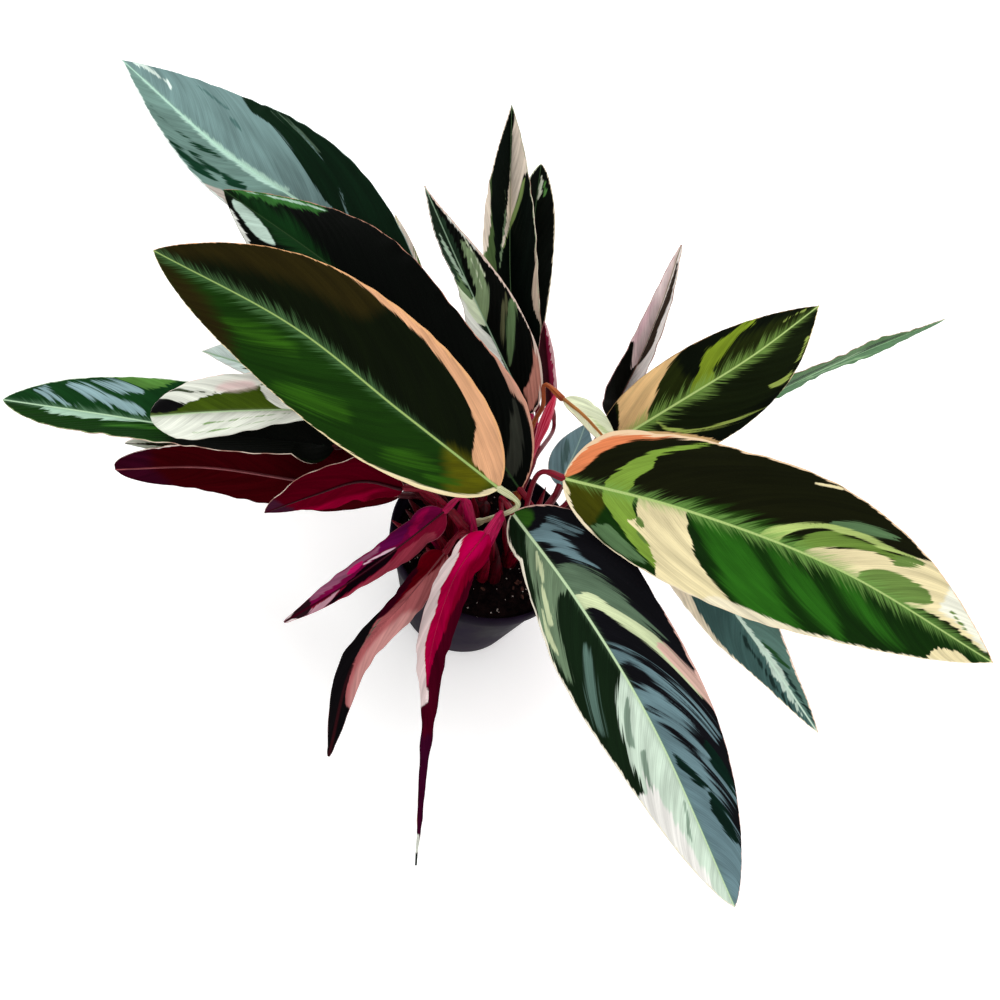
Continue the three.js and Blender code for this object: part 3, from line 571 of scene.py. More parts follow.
                 "feather": (96, 128, 94), "edgeLeft": (208, 168, 156), "edgeRight": (226, 220, 200)},
        "paints": [
            ((40, 80, 20), 2, 1, [(-2, -95), (5, -60), (7, -10), (-2, 0)]),
            # painted sheen: blue-grey streaks along the side veins of the left half
            ((98, 124, 130), 1.2, 3.5,
             [(7, 0), (10, -25), (10, -55), (16, -65), (20, -75), (19, -65), (14, -45), (20, -42),
              (26, -45), (30, -50), (26, -35), (20, -25), (13, -10)],
             [(42, 0), (50, -25), (58, -50), (68, -80), (72, -90), (66, -65), (60, -40), (52, -15),
              (50, 0)],
             [(53, 0), (60, -30), (70, -55), (80, -85), (84, -100), (80, -75), (70, -40), (62, -10),
              (58, 0)],
             [(58, 0), (66, -20), (76, -50), (86, -80), (92, -112), (102, -112), (102, 0)]),
            ((86, 108, 86), 1, 3.5,
             [(19, 0), (24, -22), (30, -42), (37, -58), (43, -66), (48, -73), (52, -78), (49, -64),
              (42, -42), (35, -22), (30, 0)]),
            ((106, 128, 100), 0.8, 2.5,
             [(7, 0), (10, 28), (16, 68), (25, 77), (33, 97), (38, 97), (50, 85), (42, 70),
              (35, 58), (30, 32), (26, 2)]),
            ((198, 210, 166), 0.4, 1.2,
             [(29, 0), (33, -20), (40, -40), (46, -60), (50, -72), (58, -85), (65, -93), (62, -83),
              (57, -71), (51, -56), (44, -36), (37, -15), (33, 0)],
             [(15, 17), (20, 46), (24, 50), (19, 24)], [(24, 57), (30, 64), (35, 70), (34, 76), (28, 70)],
             [(28, 46), (33, 60), (36, 70), (33, 66)], [(30, 80), (36, 85), (42, 83), (36, 93)]),
            ((212, 174, 160), 0.5, 1.2,
             [(52, -65), (58, -75), (64, -88), (69, -106), (65, -104), (58, -88), (52, -74)]),
            ((196, 214, 196), 0.5, 1.8,
             [(50, 2), (55, 20), (60, 45), (65, 60), (70, 70), (76, 80), (78, 112), (97, 112),
              (103, 50), (103, 0), (70, 0)]),
            ((228, 226, 220), 0.8, 1.5,
             [(72, 60), (80, 55), (92, 60), (96, 112), (77, 112), (76, 75)]),
            ((128, 150, 132), 0.5, 1.2, [(69, 35), (74, 55), (77, 65), (73, 60), (69, 45)],
             [(58, 15), (62, 30), (68, 50), (66, 55), (61, 40)], [(80, 10), (85, 40), (87, 42), (82, 12)]),
            ((84, 110, 100), 1.2, 1.5,
             [(43, 30), (48, 38), (55, 60), (63, 85), (60, 88), (52, 70), (45, 45)]),
            ((6, 30, 22), 0.5, 1.5, [(71, -10), (76, -35), (79.5, -50), (78, -30), (74, -12)],
             [(80, -50), (86, -75), (90, -85), (88, -60), (83, -42)],
             [(71, -70), (77, -90), (84, -100), (80, -80), (76, -65)])],
    },
    "leaf_right_rear": {
        "width": 62, "peak": 0.4, "blunt": 1, "left": 0.85, "right": 1.1, "fold": 10, "curl": 15,
        "slot": "deep_green_leaf",
        "midrib": [[48, 68, 126], [79, 87, 170], [107, 104, 212], [130, 128, 245]],
        "facing": [[-0.3, -0.8, 0.5], [-0.3, -0.8, 0.5], [-0.2, -0.8, 0.6], [-0.2, -0.7, 0.7]],
        "coreWidth": [(0, 0.8), (1, 0.3)], "featherWidth": [(0, 2), (0.2, 6), (0.5, 6.5), (0.8, 4), (1, 1)],
        "marginLeft": [(0, 0.6), (1, 0.4)], "marginRight": [(0, 0.7), (0.4, 0.4), (0.7, 0.3), (1, 0.7)],
        "skin": {"left": (30, 38, 8), "right": (18, 26, 7), "core": (180, 206, 126),
                 "feather": (120, 156, 74), "edgeLeft": (160, 130, 90), "edgeRight": (214, 198, 150)},
        "paints": [
            ((8, 14, 5), 3, 2, [(45, -20), (70, -60), (100, -60), (102, -112), (45, -112)],
             [(10, 50), (40, 75), (80, 95), (95, 80), (95, 112), (5, 112)]),
            ((6, 7, 5), 0.6, 1.5, [(-2, -112), (14, -112), (12, -60), (10, -30), (-2, -20)]),
            ((126, 150, 38), 0.5, 1.5,
             [(36, -2), (42, -20), (47, -35), (50, -55), (54, -70), (60, -78), (66, -85), (72, -95),
              (78, -105), (75, -82), (68, -70), (63, -55), (58, -40), (52, -25), (50, -5)]),
            ((150, 170, 82), 0.5, 1.5,
             [(24, 10), (27, 30), (32, 50), (37, 62), (46, 72), (55, 85), (62, 100), (50, 86),
              (38, 70), (30, 55), (25, 30)],
             [(66, 73), (72, 85), (80, 88), (88, 85), (88, 90), (78, 93), (70, 88)],
             [(85, -42), (90, -60), (95, -62), (90, -50)]),
            ((222, 184, 128), 0.4, 1,
             [(8, -8), (12, -50), (15, -85), (18, -112), (50, -112), (44, -95), (38, -82), (33, -62),
              (28, -40), (23, -20), (17, -3)],
             [(10, 5), (16, 10), (22, 25), (27, 45), (33, 65), (38, 85), (42, 105), (38, 98),
              (30, 70), (24, 45), (15, 12)])],
    },
    "leaf_upright_striped": {
        "width": 56, "peak": 0.4, "blunt": 1.05,
        "left": [0.3, 0.5, 0.65, 0.75, 0.75, 0.62, 0.42, 0.36, 0.52, 0.72, 0.9],
        "right": [0.88, 0.88, 0.85, 0.75, 0.5], "foldLeft": 48, "foldRight": 20, "curl": 15,
        "lean": (2.2, 0.9), "slot": "grey_green_leaf",
        "midrib": [[-2, 85, 114], [-37, 98, 146], [-70, 90, 199], [-97, 63, 266]],
        "facing": [[0.2, -0.8, 0.6], [0.4, -0.8, 0.4], [0.6, -0.8, 0.1], [0.6, -0.8, -0.1]],
        "coreWidth": [(0, 0.6), (1, 0.25)], "featherWidth": [(0, 0.3), (1, 0.3)],
        "marginLeft": [(0, 0.6), (1, 0.5)],
        "marginRight": [(0, 2), (0.28, 2), (0.36, 0.5), (0.5, 1.2), (0.7, 1.2), (1, 0.8)],
        "skin": {"left": (20, 34, 22), "right": (6, 8, 6), "core": (140, 166, 140),
                 "feather": (56, 84, 60), "edgeLeft": (210, 215, 205), "edgeRight": (222, 200, 186)},
        "paints": [
            ((94, 120, 80), 0.6, 1.5,
             [(25, 10), (33, 25), (40, 42), (48, 70), (52, 95), (50, 100), (42, 75), (35, 50), (29, 30)],
             [(56, -10), (60, -50), (66, -95), (75, -75), (68, -50), (62, -20)]),
            ((84, 86, 60), 0.6, 1.5,
             [(33, 10), (42, 30), (50, 60), (55, 90), (52, 85), (45, 55), (37, 25)]),
            ((130, 152, 112), 0.5, 1.5,
             [(42, 0), (50, 20), (55, 40), (60, 55), (68, 68), (76, 72), (80, 60), (75, 42), (66, 25),
              (58, 10), (55, 0)]),
            ((206, 218, 186), 0.4, 0.8, [(60, 34), (61, 37), (72, 54), (72, 50)],
             [(65, 61), (66, 65), (79, 82), (79, 78)],
             [(42, 0), (50, -45), (58, -112), (68, -112), (63, -70), (58, -30), (56, 0)]),
            ((172, 196, 172), 0.5, 1.2,
             [(60, 0), (66, -30), (72, -50), (80, -65), (86, -60), (80, -40), (70, -20), (66, 0)]),
            ((36, 56, 40), 0.5, 1.2, [(66, -70), (74, -112), (84, -112), (80, -75), (74, -60)],
             [(66, 0), (72, 15), (80, 30), (88, 40), (92, 20), (85, -10), (70, -10)]),
            ((228, 230, 220), 0.5, 1,
             [(60, 112), (67, 99), (76, 92), (85, 84), (92, 94), (94, 112)],
             [(4, -14), (24, -10), (38, -4), (48, -36), (56, -70), (60, -114), (2, -114)]),
            ((226, 200, 198), 1.2, 1.5, [(4, -60), (30, -55), (44, -70), (46, -114), (2, -114)]),
            ((194, 132, 116), 0.6, 1.5,
             [(2, 20), (12, 20), (14, 45), (20, 70), (30, 95), (40, 112), (10, 112), (8, 80), (3, 60)])],
    },
    "leaf_upright_rear": {
        "width": 52, "peak": 0.4, "blunt": 1, "fold": 58, "curl": 20, "slot": "black_green_leaf",
        "midrib": [[-14, 110, 118], [-42, 132, 160], [-67, 177, 199], [-88, 214, 240]],
        "facing": [[0.2, -0.8, 0.5], [0.1, -0.8, 0.7], [0, -0.7, 0.7], [0.1, -0.7, 0.7]],
        "coreWidth": [(0, 0.4), (1, 0.2)], "featherWidth": [(0, 0), (1, 0.3)],
        "marginLeft": [(0, 0.4), (0.35, 0.8), (0.5, 0.8), (0.6, 0.5), (1, 0.6)],
        "marginRight": [(0, 0.6), (1, 0.6)],
        "skin": {"left": (6, 12, 8), "right": (6, 12, 8), "core": (90, 118, 80),
                 "feather": (30, 56, 30), "edgeLeft": (228, 216, 196), "edgeRight": (150, 160, 130)},
        "paints": [
            ((110, 132, 100), 0.4, 1,
             [(43, -45), (50, -40), (58, -30), (66, -25), (70, -30), (60, -20), (50, -30)]),
            ((122, 144, 84), 0.5, 1,
             [(50, -30), (56, -5), (60, 30), (66, 60), (73, 80), (72, 65), (66, 40), (63, 20), (60, 0)]),
            ((72, 94, 54), 0.5, 1.2, [(34, -60), (50, -62), (64, -82), (80, -114), (32, -114)]),
            ((222, 208, 190), 0.4, 1,
             [(50, -84), (58, -80), (70, -96), (82, -114), (46, -114)],
             [(50, -35), (58, -20), (66, -15), (75, -5), (85, 10), (90, 20), (95, 60), (96, 112),
              (78, 112), (74, 80), (68, 50), (64, 30), (60, 5)]),
            ((200, 180, 160), 0.4, 1,
             [(26, 90), (33, 78), (40, 88), (50, 98), (62, 114), (24, 114)]),
            ((116, 140, 92), 0.6, 1, [(30, -70), (38, -84), (46, -92), (50, -114), (26, -114)])],
    },
    "leaf_upright_slim": {
        "width": 42, "peak": 0.4, "blunt": 0.7, "right": [0.4, 0.5, 0.75, 0.9, 1], "fold": 30,
        "curl": 20, "small": True, "slot": "black_green_leaf",
        "midrib": [[-2, 114, 100], [-28, 143, 140], [-45, 175, 178], [-58, 209, 212]],
        "facing": [[0.2, -0.7, 0.7], [0.2, -0.7, 0.7], [0.2, -0.7, 0.7], [0.2, -0.7, 0.7]],
        "coreWidth": [(0, 0.4), (1, 0.2)], "featherWidth": [(0, 0), (1, 0.4)],
        "marginLeft": [(0, 0.4), (0.6, 0.6), (0.76, 2), (0.95, 0.8)], "marginRight": [(0, 0.8), (1, 0.8)],
        "skin": {"left": (6, 10, 6), "right": (6, 10, 6), "core": (60, 84, 54), "feather": (24, 46, 24),
                 "edgeLeft": (190, 200, 172), "edgeRight": (206, 196, 170)},
        "paints": [((200, 214, 190), 0.5, 1, [(84, 8), (90, 5), (95, 20), (94, 32), (88, 28)]),
                   ((74, 122, 60), 0.6, 1, [(86, 45), (91, 42), (93, 56), (88, 58)])],
    },
    "leaf_upright_young": {
        "width": 18, "peak": 0.4, "blunt": 0.8, "right": 0.6, "fold": 40, "curl": 20, "wave": 0.8,
        "small": True, "slot": "maroon_leaf",
        "midrib": [[11, 113, 98], [1, 114, 123], [-8, 114, 147], [-16, 116, 167]],
        "facing": [[0.4, -0.9, 0.2], [0.4, -0.9, 0.2], [0.4, -0.9, 0.2], [0.4, -0.9, 0.2]],
        "coreWidth": [(0, 0.4), (1, 0.2)], "featherWidth": [(0, 0), (1, 0)],
        "marginLeft": [(0, 0.5), (1, 0.5)], "marginRight": [(0, 1), (0.4, 2.4), (1, 1.6)],
        "skin": {"left": (44, 6, 14), "right": (170, 44, 82), "core": (96, 8, 34), "feather": (60, 8, 24),
                 "edgeLeft": (120, 50, 70), "edgeRight": (236, 188, 194)},
        "paints": [],
    },
    "leaf_upright_pink": {
        "width": 36, "peak": 0.4, "blunt": 1, "left": [1, 1, 0.75, 0.65, 0.65, 0.8], "foldLeft": 45,
        "foldRight": 70, "curl": 10, "small": True, "slot": "pale_leaf",
        "midrib": [[51, 127, 98], [52, 135, 146], [50, 149, 188], [46, 168, 222]],
        "facing": [[-0.1, -1, 0.2], [-0.1, -1, 0.2], [-0.1, -0.9, 0.4], [-0.1, -0.9, 0.5]],
        "coreWidth": [(0, 0.5), (1, 0.25)], "featherWidth": [(0, 0), (1, 0.4)],
        "marginLeft": [(0, 0.5), (1, 0.5)], "marginRight": [(0, 0.5), (1, 0.5)],
        "skin": {"left": (242, 222, 220), "right": (246, 242, 236), "core": (150, 140, 110),
                 "feather": (196, 190, 168), "edgeLeft": (196, 150, 150), "edgeRight": (150, 116, 106)},
        "paints": [
            ((240, 202, 210), 3, 2, [(45, -70), (55, -60), (68, -70), (66, -95), (48, -95)]),
            ((54, 44, 34), 0.4, 1,
             [(33, 5), (40, 40), (50, 65), (60, 60), (70, 75), (85, 90), (90, 80), (90, 50), (75, 25),
              (60, 10), (45, 5)]),
            ((8, 10, 6), 0.5, 1,
             [(-2, -112), (40, -112), (46, -85), (40, -60), (35, -40), (31, -22), (33, -10), (36, 0),
              (-2, 0)])],
    },
    "leaf_far_right": {
        "width": 60, "peak": 0.4, "blunt": 0.7, "left": [1, 1.1, 1.05, 0.6, 0.35],
        "right": [0.25, 0.3, 0.5, 0.6, 0.7], "fold": 5, "curl": 5, "small": True, "slot": "grey_green_leaf",
        "midrib": [[107, 119, 115], [155, 174, 140], [205, 225, 160], [258, 278, 175]],
        "facing": [[0.8, -0.6, -0.2], [0.8, -0.6, -0.2], [0.7, -0.6, -0.2], [0.7, -0.7, -0.2]],
        "coreWidth": [(0, 0.8), (1, 0.3)], "featherWidth": [(0, 1), (1, 1)],
        "marginLeft": [(0, 0.5), (1, 0.5)], "marginRight": [(0, 0.8), (1, 0.7)],
        "skin": {"left": (70, 108, 62), "right": (80, 120, 80), "core": (150, 188, 146),
                 "feather": (98, 138, 96), "edgeLeft": (120, 160, 116), "edgeRight": (190, 212, 186)},
        "paints": [
            ((30, 62, 30), 1, 2, [(20, -30), (35, -55), (55, -75), (50, -50), (32, -25)],
             [(50, -20), (62, -50), (80, -70), (74, -40), (60, -15)]),
            ((128, 166, 120), 1, 2, [(38, -5), (50, -25), (66, -45), (60, -20), (48, 0)],
             [(40, 20), (55, 50), (75, 80), (66, 45), (50, 15)])],
    },
    "leaf_right_low": {
        "width": 50, "peak": 0.4, "blunt": 0.85, "right": [0.85, 0.9, 0.95, 0.9, 0.75, 0.6],
        "fold": 12, "curl": 12, "left": [1, 1, 0.95, 0.85, 0.65, 0.6],
        "slot": "grey_green_leaf",
        "midrib": [[90, 46, 120], [133, 12, 120], [181, -9, 100], [244, -27, 60]],
        "facing": [[-0.5, -0.7, 0.5], [-0.4, -0.8, 0.5], [-0.1, -0.9, 0.4], [0, -0.9, 0.3]],
        "coreWidth": [(0, 0.8), (0.6, 1), (1, 0.4)], "featherWidth": [(0, 0.8), (0.5, 1.5), (1, 1)],
        "marginLeft": [(0, 0.7), (0.5, 0.8), (0.54, 2), (0.6, 1), (1, 0.8)],
        "marginRight": [(0, 1), (0.5, 1), (0.6, 1), (1, 0.8)],
        "skin": {"left": (82, 114, 104), "right": (60, 90, 86), "core": (192, 216, 198),
                 "feather": (128, 164, 148), "edgeLeft": (232, 210, 190), "edgeRight": (235, 225, 200)},
        "paints": [
            ((196, 218, 202), 0.5, 1.5,
             [(50, 0), (60, -8), (70, -20), (76, -28), (82, -15), (90, 20), (93, 50), (88, 40),
              (80, 25), (70, 8), (60, 2)]),
            ((30, 66, 34), 0.6, 1.5, [(66, -20), (72, -50), (77, -75), (75, -50), (70, -25)]),
            ((26, 46, 42), 0.6, 1.5, [(77, -40), (85, -30), (95, -60), (96, -90), (88, -60)],
             [(60, 20), (70, 30), (80, 45), (86, 60), (90, 90), (85, 75), (75, 45), (65, 35)]),
            ((230, 220, 190), 0.5, 1.2,
             [(20, 62), (34, 66), (44, 76), (54, 84), (64, 92), (78, 101), (78, 112), (20, 112)])],
    },
    "leaf_far_left": {
        "width": 54, "peak": 0.4, "blunt": 0.8, "foldLeft": [74, 74, 74, 66, 56, 50],
        "foldRight": 0, "curl": 10,
        "slot": "deep_green_leaf",
        "midrib": [[-101, -14, 132], [-162, -34, 129], [-226, -47, 122], [-290, -52, 104]],
        "facing": [[0.2, -0.6, 0.8], [0.1, -0.6, 0.8], [-0.1, -0.6, 0.8], [-0.2, -0.7, 0.7]],
        # up to four tenths of the way the midrib, barbs and margins are hidden under painted shade
        "coreWidth": [(0, -0.5), (0.4, -0.5), (0.46, 0.7), (1, 0.4)],
        "featherWidth": [(0, -3), (0.4, -3), (0.48, 2.5), (0.85, 2.5), (1, 1)],
        "marginLeft": [(0, -0.5), (0.4, -0.5), (0.46, 0.6), (1, 0.5)],
        "marginRight": [(0, -0.5), (0.4, -0.5), (0.46, 0.6), (1, 0.5)],
        "skin": {"left": (16, 50, 8), "right": (18, 60, 24), "core": (186, 216, 182),
                 "feather": (128, 170, 136), "edgeLeft": (140, 164, 110), "edgeRight": (186, 204, 178)},
        "paints": [
            # painted shade: the base half of the blade is black
            ((7, 9, 6), 5, 3, [(-2, -114), (44, -114), (39, 0), (43, 114), (-2, 114)]),
            ((50, 100, 30), 2, 2.5, [(46, -20), (52, -45), (64, -60), (58, -30), (48, -12)]),
            ((170, 204, 180), 0.6, 2.5, [(53, 0), (60, -22), (68, -30), (76, -36), (85, -30), (85, 0)]),
            # painted highlight: whitish blue patches on the right half
            ((140, 170, 174), 0.7, 2.5,
             [(56, 12), (62, 20), (70, 35), (76, 60), (80, 85), (74, 75), (68, 50), (60, 35), (56, 25)],
             [(58, 65), (63, 60), (70, 80), (73, 95), (66, 85)],
             [(76, 10), (82, 20), (87, 45), (90, 75), (87, 80), (84, 50), (80, 25)]),
            ((88, 138, 60), 0.7, 2, [(47, 112), (55, 75), (65, 90), (70, 112)])],
    },
    "leaf_left_rolled": {
        "width": 46, "peak": 0.4, "blunt": 0.5, "fold": 35, "curl": 90, "small": True, "slot": "pale_leaf",
        "left": [0.3, 0.3, 0.3, 0.4, 0.55, 0.7, 0.85, 1, 1],
        "midrib": [[-96, -11, 164], [-129, -29, 164], [-163, -45, 159], [-192, -55, 149]],
        "facing": [[0.3, -0.6, 0.8], [0.2, -0.6, 0.8], [0.1, -0.7, 0.7], [0, -0.7, 0.7]],
        "coreWidth": [(0, 0.5), (1, 0.3)], "featherWidth": [(0, 0), (1, 0.6)],
        "marginLeft": [(0, 0.5), (1, 0.5)], "marginRight": [(0, 0.6), (1, 0.6)],
        "skin": {"left": (226, 230, 216), "right": (60, 80, 12), "core": (176, 204, 156),
                 "feather": (190, 205, 170), "edgeLeft": (206, 200, 186), "edgeRight": (226, 206, 196)},
        "paints": [
            ((136, 168, 110), 0.3, 0.6, [(30, -30), (50, -38), (70, -42), (70, -38), (50, -33), (30, -26)],
             [(34, -60), (55, -68), (75, -72), (75, -67), (55, -63), (34, -56)]),
            ((226, 229, 216), 0.4, 0.8,
             [(-2, 0), (33, 5), (42, 50), (40, 65), (50, 55), (65, 45), (78, 30), (84, 45), (92, 75),
              (95, 112), (-2, 112)]),
            ((230, 206, 200), 2, 1, [(44, 55), (52, 50), (62, 55), (58, 75), (46, 75)]),
            # painted shade: a dark line along the crease of the rolled fold
            ((60, 70, 48), 0.3, 0.6,
             [(62, 50), (75, 60), (85, 85), (90, 100), (84, 95), (74, 65)]),
            # painted shade: the hollow inside the roll is black
            ((8, 7, 8), 0.5, 0.8,
             [(78, 30), (84, 45), (92, 75), (96, 112), (102, 112), (98, 30), (90, 10), (85, 15)])],
    },
    "leaf_left_behind": {
        "width": 50, "peak": 0.4, "blunt": 1, "left": [1, 0.8, 0.5, 0.35, 0.35], "fold": 15, "curl": 10,
        "small": True,
        "slot": "grey_green_leaf",
        "midrib": [[-75, 34, 110], [-121, 27, 125], [-164, 21, 130], [-201, 17, 130]],
        "facing": [[0.3, -0.6, 0.7], [0.3, -0.6, 0.7], [0.1, -0.6, 0.8], [0.1, -0.7, 0.8]],
        "coreWidth": [(0, 0.7), (1, 0.4)], "featherWidth": [(0, 1), (1, 1)],
        "marginLeft": [(0, 0.7), (1, 0.7)], "marginRight": [(0, 0.7), (1, 0.7)],
        "skin": {"left": (226, 246, 238), "right": (222, 242, 234), "core": (160, 196, 160),
                 "feather": (130, 166, 134), "edgeLeft": (222, 226, 216), "edgeRight": (222, 226, 216)},
        "paints": [((36, 64, 40), 0.5, 1.5, [(20, 10), (32, 35), (46, 60), (42, 35), (28, 8)],
                    [(50, 10), (60, 35), (74, 60), (68, 30), (58, 8)],
                    [(24, -10), (36, -35), (48, -50), (40, -20)],
                    [(56, -10), (66, -35), (78, -50), (68, -18)])],
    },
    "leaf_left_low": {
        "pleat": 0.3, "width": 58, "peak": 0.4, "blunt": 0.4, "left": [1.1, 1.1, 0.95, 0.76, 0.7],
        "right": [0.55, 0.85, 1.12, 1.15, 0.95], "fold": 12, "curl": 12, "small": True,
        "seen": "under", "slot": "maroon_leaf",
        "midrib": [[-57, -10, 106], [-117, -21, 97], [-177, -27, 80], [-230, -42, 62]],
        "facing": [[-0.1, 0.9, -0.4], [-0.1, 1, -0.2], [-0.2, 1, 0], [-0.3, 1, 0]],
        "coreWidth": [(0, 0.5), (1, 0.4)], "featherWidth": [(0, 0.5), (1, 0.5)],
        "marginLeft": [(0, 0.9), (0.8, 0.9), (0.9, 0.2), (1, 0.2)], "marginRight": [(0, 0.2), (1, 0.2)],
        "skin": {"left": (50, 2, 6), "right": (52, 2, 6), "core": (150, 80, 84),
                 "feather": (58, 3, 9), "edgeLeft": (226, 214, 206), "edgeRight": (60, 12, 18)},
        "paints": [((46, 5, 22), 6, 2, [(84, -112), (86, 0), (86, 112), (104, 112), (104, -112)]),
                   ((60, 3, 10), 4, 2, [(-2, -112), (30, -112), (20, 0), (30, 112), (-2, 112)])],
    },
    "leaf_left_low_rear": {
        "width": 36, "peak": 0.4, "blunt": 0.7, "fold": 12, "curl": 10, "small": True,
        "seen": "under", "slot": "black_green_leaf",
        "midrib": [[-66, 15, 96], [-128, 3, 90], [-182, -11, 80], [-230, -29, 74]],
        "facing": [[-0.2, 1, 0.1], [-0.2, 1, 0.1], [-0.3, 0.9, 0.1], [-0.4, 0.9, 0.1]],
        "coreWidth": [(0, 0.4), (1, 0.3)], "featherWidth": [(0, 0), (1, 0)],
        "marginLeft": [(0, 0.8), (1, 0.8)], "marginRight": [(0, 0.8), (1, 0.8)],
        # the near-black of this underside is painted shade; the wine red patch in its middle is its own
        # colour
        "skin": {"left": (16, 6, 8), "right": (16, 6, 8), "core": (50, 14, 20), "feather": (30, 6, 12),
                 "edgeLeft": (218, 218, 212), "edgeRight": (218, 218, 212)},
        "paints": [((40, 4, 12), 3, 2, [(30, -60), (50, -70), (70, -60), (70, 60), (30, 60)]),
                   ((218, 222, 204), 0.5, 0.8, [(80, -112), (83, 0), (80, 112), (104, 112), (104, -112)]),
                   ((52, 74, 44), 0.5, 0.8, [(78, -30), (90, -20), (97, 0), (90, 26), (78, 30)])],
    },
    "leaf_left_short": {
        "pleat": 0.3, "width": 60, "peak": 0.4, "blunt": 0.8, "left": 0.6,
        "right": [0.8, 0.75, 0.76, 0.86, 1.05, 1.1, 1.1], "fold": 15, "curl": 15,
        "small": True, "seen": "under", "slot": "maroon_leaf",
        "midrib": [[-53, -29, 140], [-77, -34, 138], [-100, -46, 124], [-124, -55, 102]],
        "facing": [[-0.2, 1, 0], [-0.3, 0.9, 0], [-0.5, 0.9, 0.1], [-0.5, 0.9, 0.1]],
        "coreWidth": [(0, 0.6), (1, 0.4)], "featherWidth": [(0, 0.5), (1, 0.5)],
        "marginLeft": [(0, 0.4), (1, 0.4)], "marginRight": [(0, 0.4), (1, 0.4)],
        "skin": {"left": (70, 0, 14), "right": (92, 0, 22), "core": (52, 0, 10), "feather": (56, 0, 12),
                 "edgeLeft": (96, 10, 24), "edgeRight": (110, 14, 30)},
        "paints": [((138, 0, 42), 2.5, 2,
                    [(10, 36), (30, 62), (50, 72), (65, 66), (80, 80), (90, 100), (50, 104), (30, 80)]),
                   ((58, 22, 40), 2, 1.5, [(88, -112), (86, 0), (90, 112), (104, 112), (104, -112)])],
    },
    "leaf_front_left": {
        "pleat": 0.3, "rib": 0.5, "ribEnd": 0.7, "width": 44, "peak": 0.4, "blunt": 0.8,
        "left": [1, 0.75, 0.6, 0.7, 0.75, 0.6],
        "right": [1, 0.9, 0.65, 0.5, 0.55, 0.8], "fold": 60, "curl": 10, "small": True,
        "seen": "under", "slot": "crimson_leaf",
        "midrib": [[-27, -28, 132], [-43, -63, 130], [-63, -88, 112], [-87, -105, 82]],
        "facing": [[-0.3, 0.2, -0.9], [-0.2, 0.4, -0.9], [0.1, 0.7, -0.7], [0.2, 0.8, -0.6]],
        "coreWidth": [(0, 0.4), (1, 0.3)], "featherWidth": [(0, 0), (1, 0)],
        "marginLeft": [(0, 0.4), (1, 0.5)], "marginRight": [(0, 0.4), (1, 0.5)],
        "skin": {"left": (112, 8, 60), "right": (116, 14, 42), "core": (50, 3, 18),
                 "feather": (60, 4, 20), "edgeLeft": (150, 84, 100), "edgeRight": (156, 88, 100)},
        "paints": [
            ((148, 8, 68), 0.8, 1.5,
             [(4, -90), (10, -85), (20, -40), (26, 0), (22, 0), (15, -30), (6, -55)]),
            ((94, 10, 68), 0.8, 1.5,
             [(15, -90), (40, -90), (42, -60), (30, -20), (25, -30), (18, -60)]),
            ((140, 80, 108), 0.8, 1.5,
             [(40, -90), (85, -95), (83, -40), (60, -50), (50, -60), (42, -60)]),
            ((190, 20, 98), 0.6, 1, [(52, -75), (60, -75), (63, -50), (58, -35), (53, -50)]),
            ((140, 50, 66), 0.8, 1.5,
             [(10, 50), (30, 30), (40, 50), (60, 75), (80, 110), (15, 112)]),
            ((170, 128, 140), 0.6, 1.2,
             [(62, 0), (75, 10), (85, 40), (90, 90), (85, 100), (75, 50)]),
            ((14, 4, 10), 0.5, 1,
             [(33, 5), (38, -20), (50, -35), (60, -10), (70, 30), (80, 80), (85, 112), (80, 100),
              (65, 70), (50, 55), (40, 35)]),
            ((222, 188, 202), 0.4, 0.6,
             [(32, -10), (38, -35), (50, -50), (52, -42), (42, -30), (35, -5)]),
            ((34, 16, 22), 0.6, 1, [(84, -30), (88, -112), (104, -112), (104, 112), (92, 112), (86, 40)]),
            ((214, 198, 198), 0.4, 0.6, [(95, -112), (96, 0), (95, 112), (104, 112), (104, -112)])],
    },
    "leaf_front_drooping": {
        "pleat": 0.3, "rib": 0.4, "ribEnd": 0.5, "ribTint": (120, 60, 64),
        "width": 46, "peak": 0.4, "blunt": 0.8,
        "left": [1, 0.8, 0.6, 0.5, 0.55, 0.75, 0.9, 1],
        "right": 0.8, "fold": 62, "curl": 10, "small": True, "seen": "under", "slot": "maroon_leaf",
        "midrib": [[-18, -42, 114], [-27, -76, 109], [-41, -115, 86], [-35, -155, 50]],
        "facing": [[-0.1, 0.2, -1], [-0.1, 0.4, -0.9], [-0.1, 0.6, -0.8], [-0.1, 0.7, -0.7]],
        "coreWidth": [(0, 0.3), (0.3, 0.3), (0.36, -0.5), (1, -0.5)], "featherWidth": [(0, 0), (1, 0)],
        "marginLeft": [(0, 0.3), (1, 0.5)], "marginRight": [(0, 0.4), (1, 0.3)],
        "skin": {"left": (156, 84, 86), "right": (168, 92, 94), "core": (150, 70, 76),
                 "feather": (110, 30, 40), "edgeLeft": (60, 30, 34), "edgeRight": (200, 148, 146)},
        "paints": [
            ((196, 140, 136), 3, 1.5, [(40, 40), (60, 30), (78, 50), (84, 112), (36, 112)]),
            ((92, 0, 14), 1.2, 1.5,
             [(-2, -112), (-2, 30), (10, 24), (20, -4), (32, -24), (46, -34), (46, -112)]),
            ((52, 2, 20), 0.8, 1.2, [(14, -112), (16, -70), (30, -56), (46, -48), (52, -112)]),
            ((14, 12, 14), 0.6, 0.8,
             [(36, -112), (42, -72), (50, -42), (58, -16), (66, 0), (76, 14), (82, 44), (86, 112),
              (104, 112), (104, -112)]),
            ((60, 96, 80), 0.6, 0.8, [(46, -50), (52, -34), (60, -12), (58, -20), (51, -46)])],
    },
    "leaf_front_long_tip": {
        "pleat": 0.3, "rib": 0.4, "ribEnd": 0.5, "ribTint": (150, 0, 50),
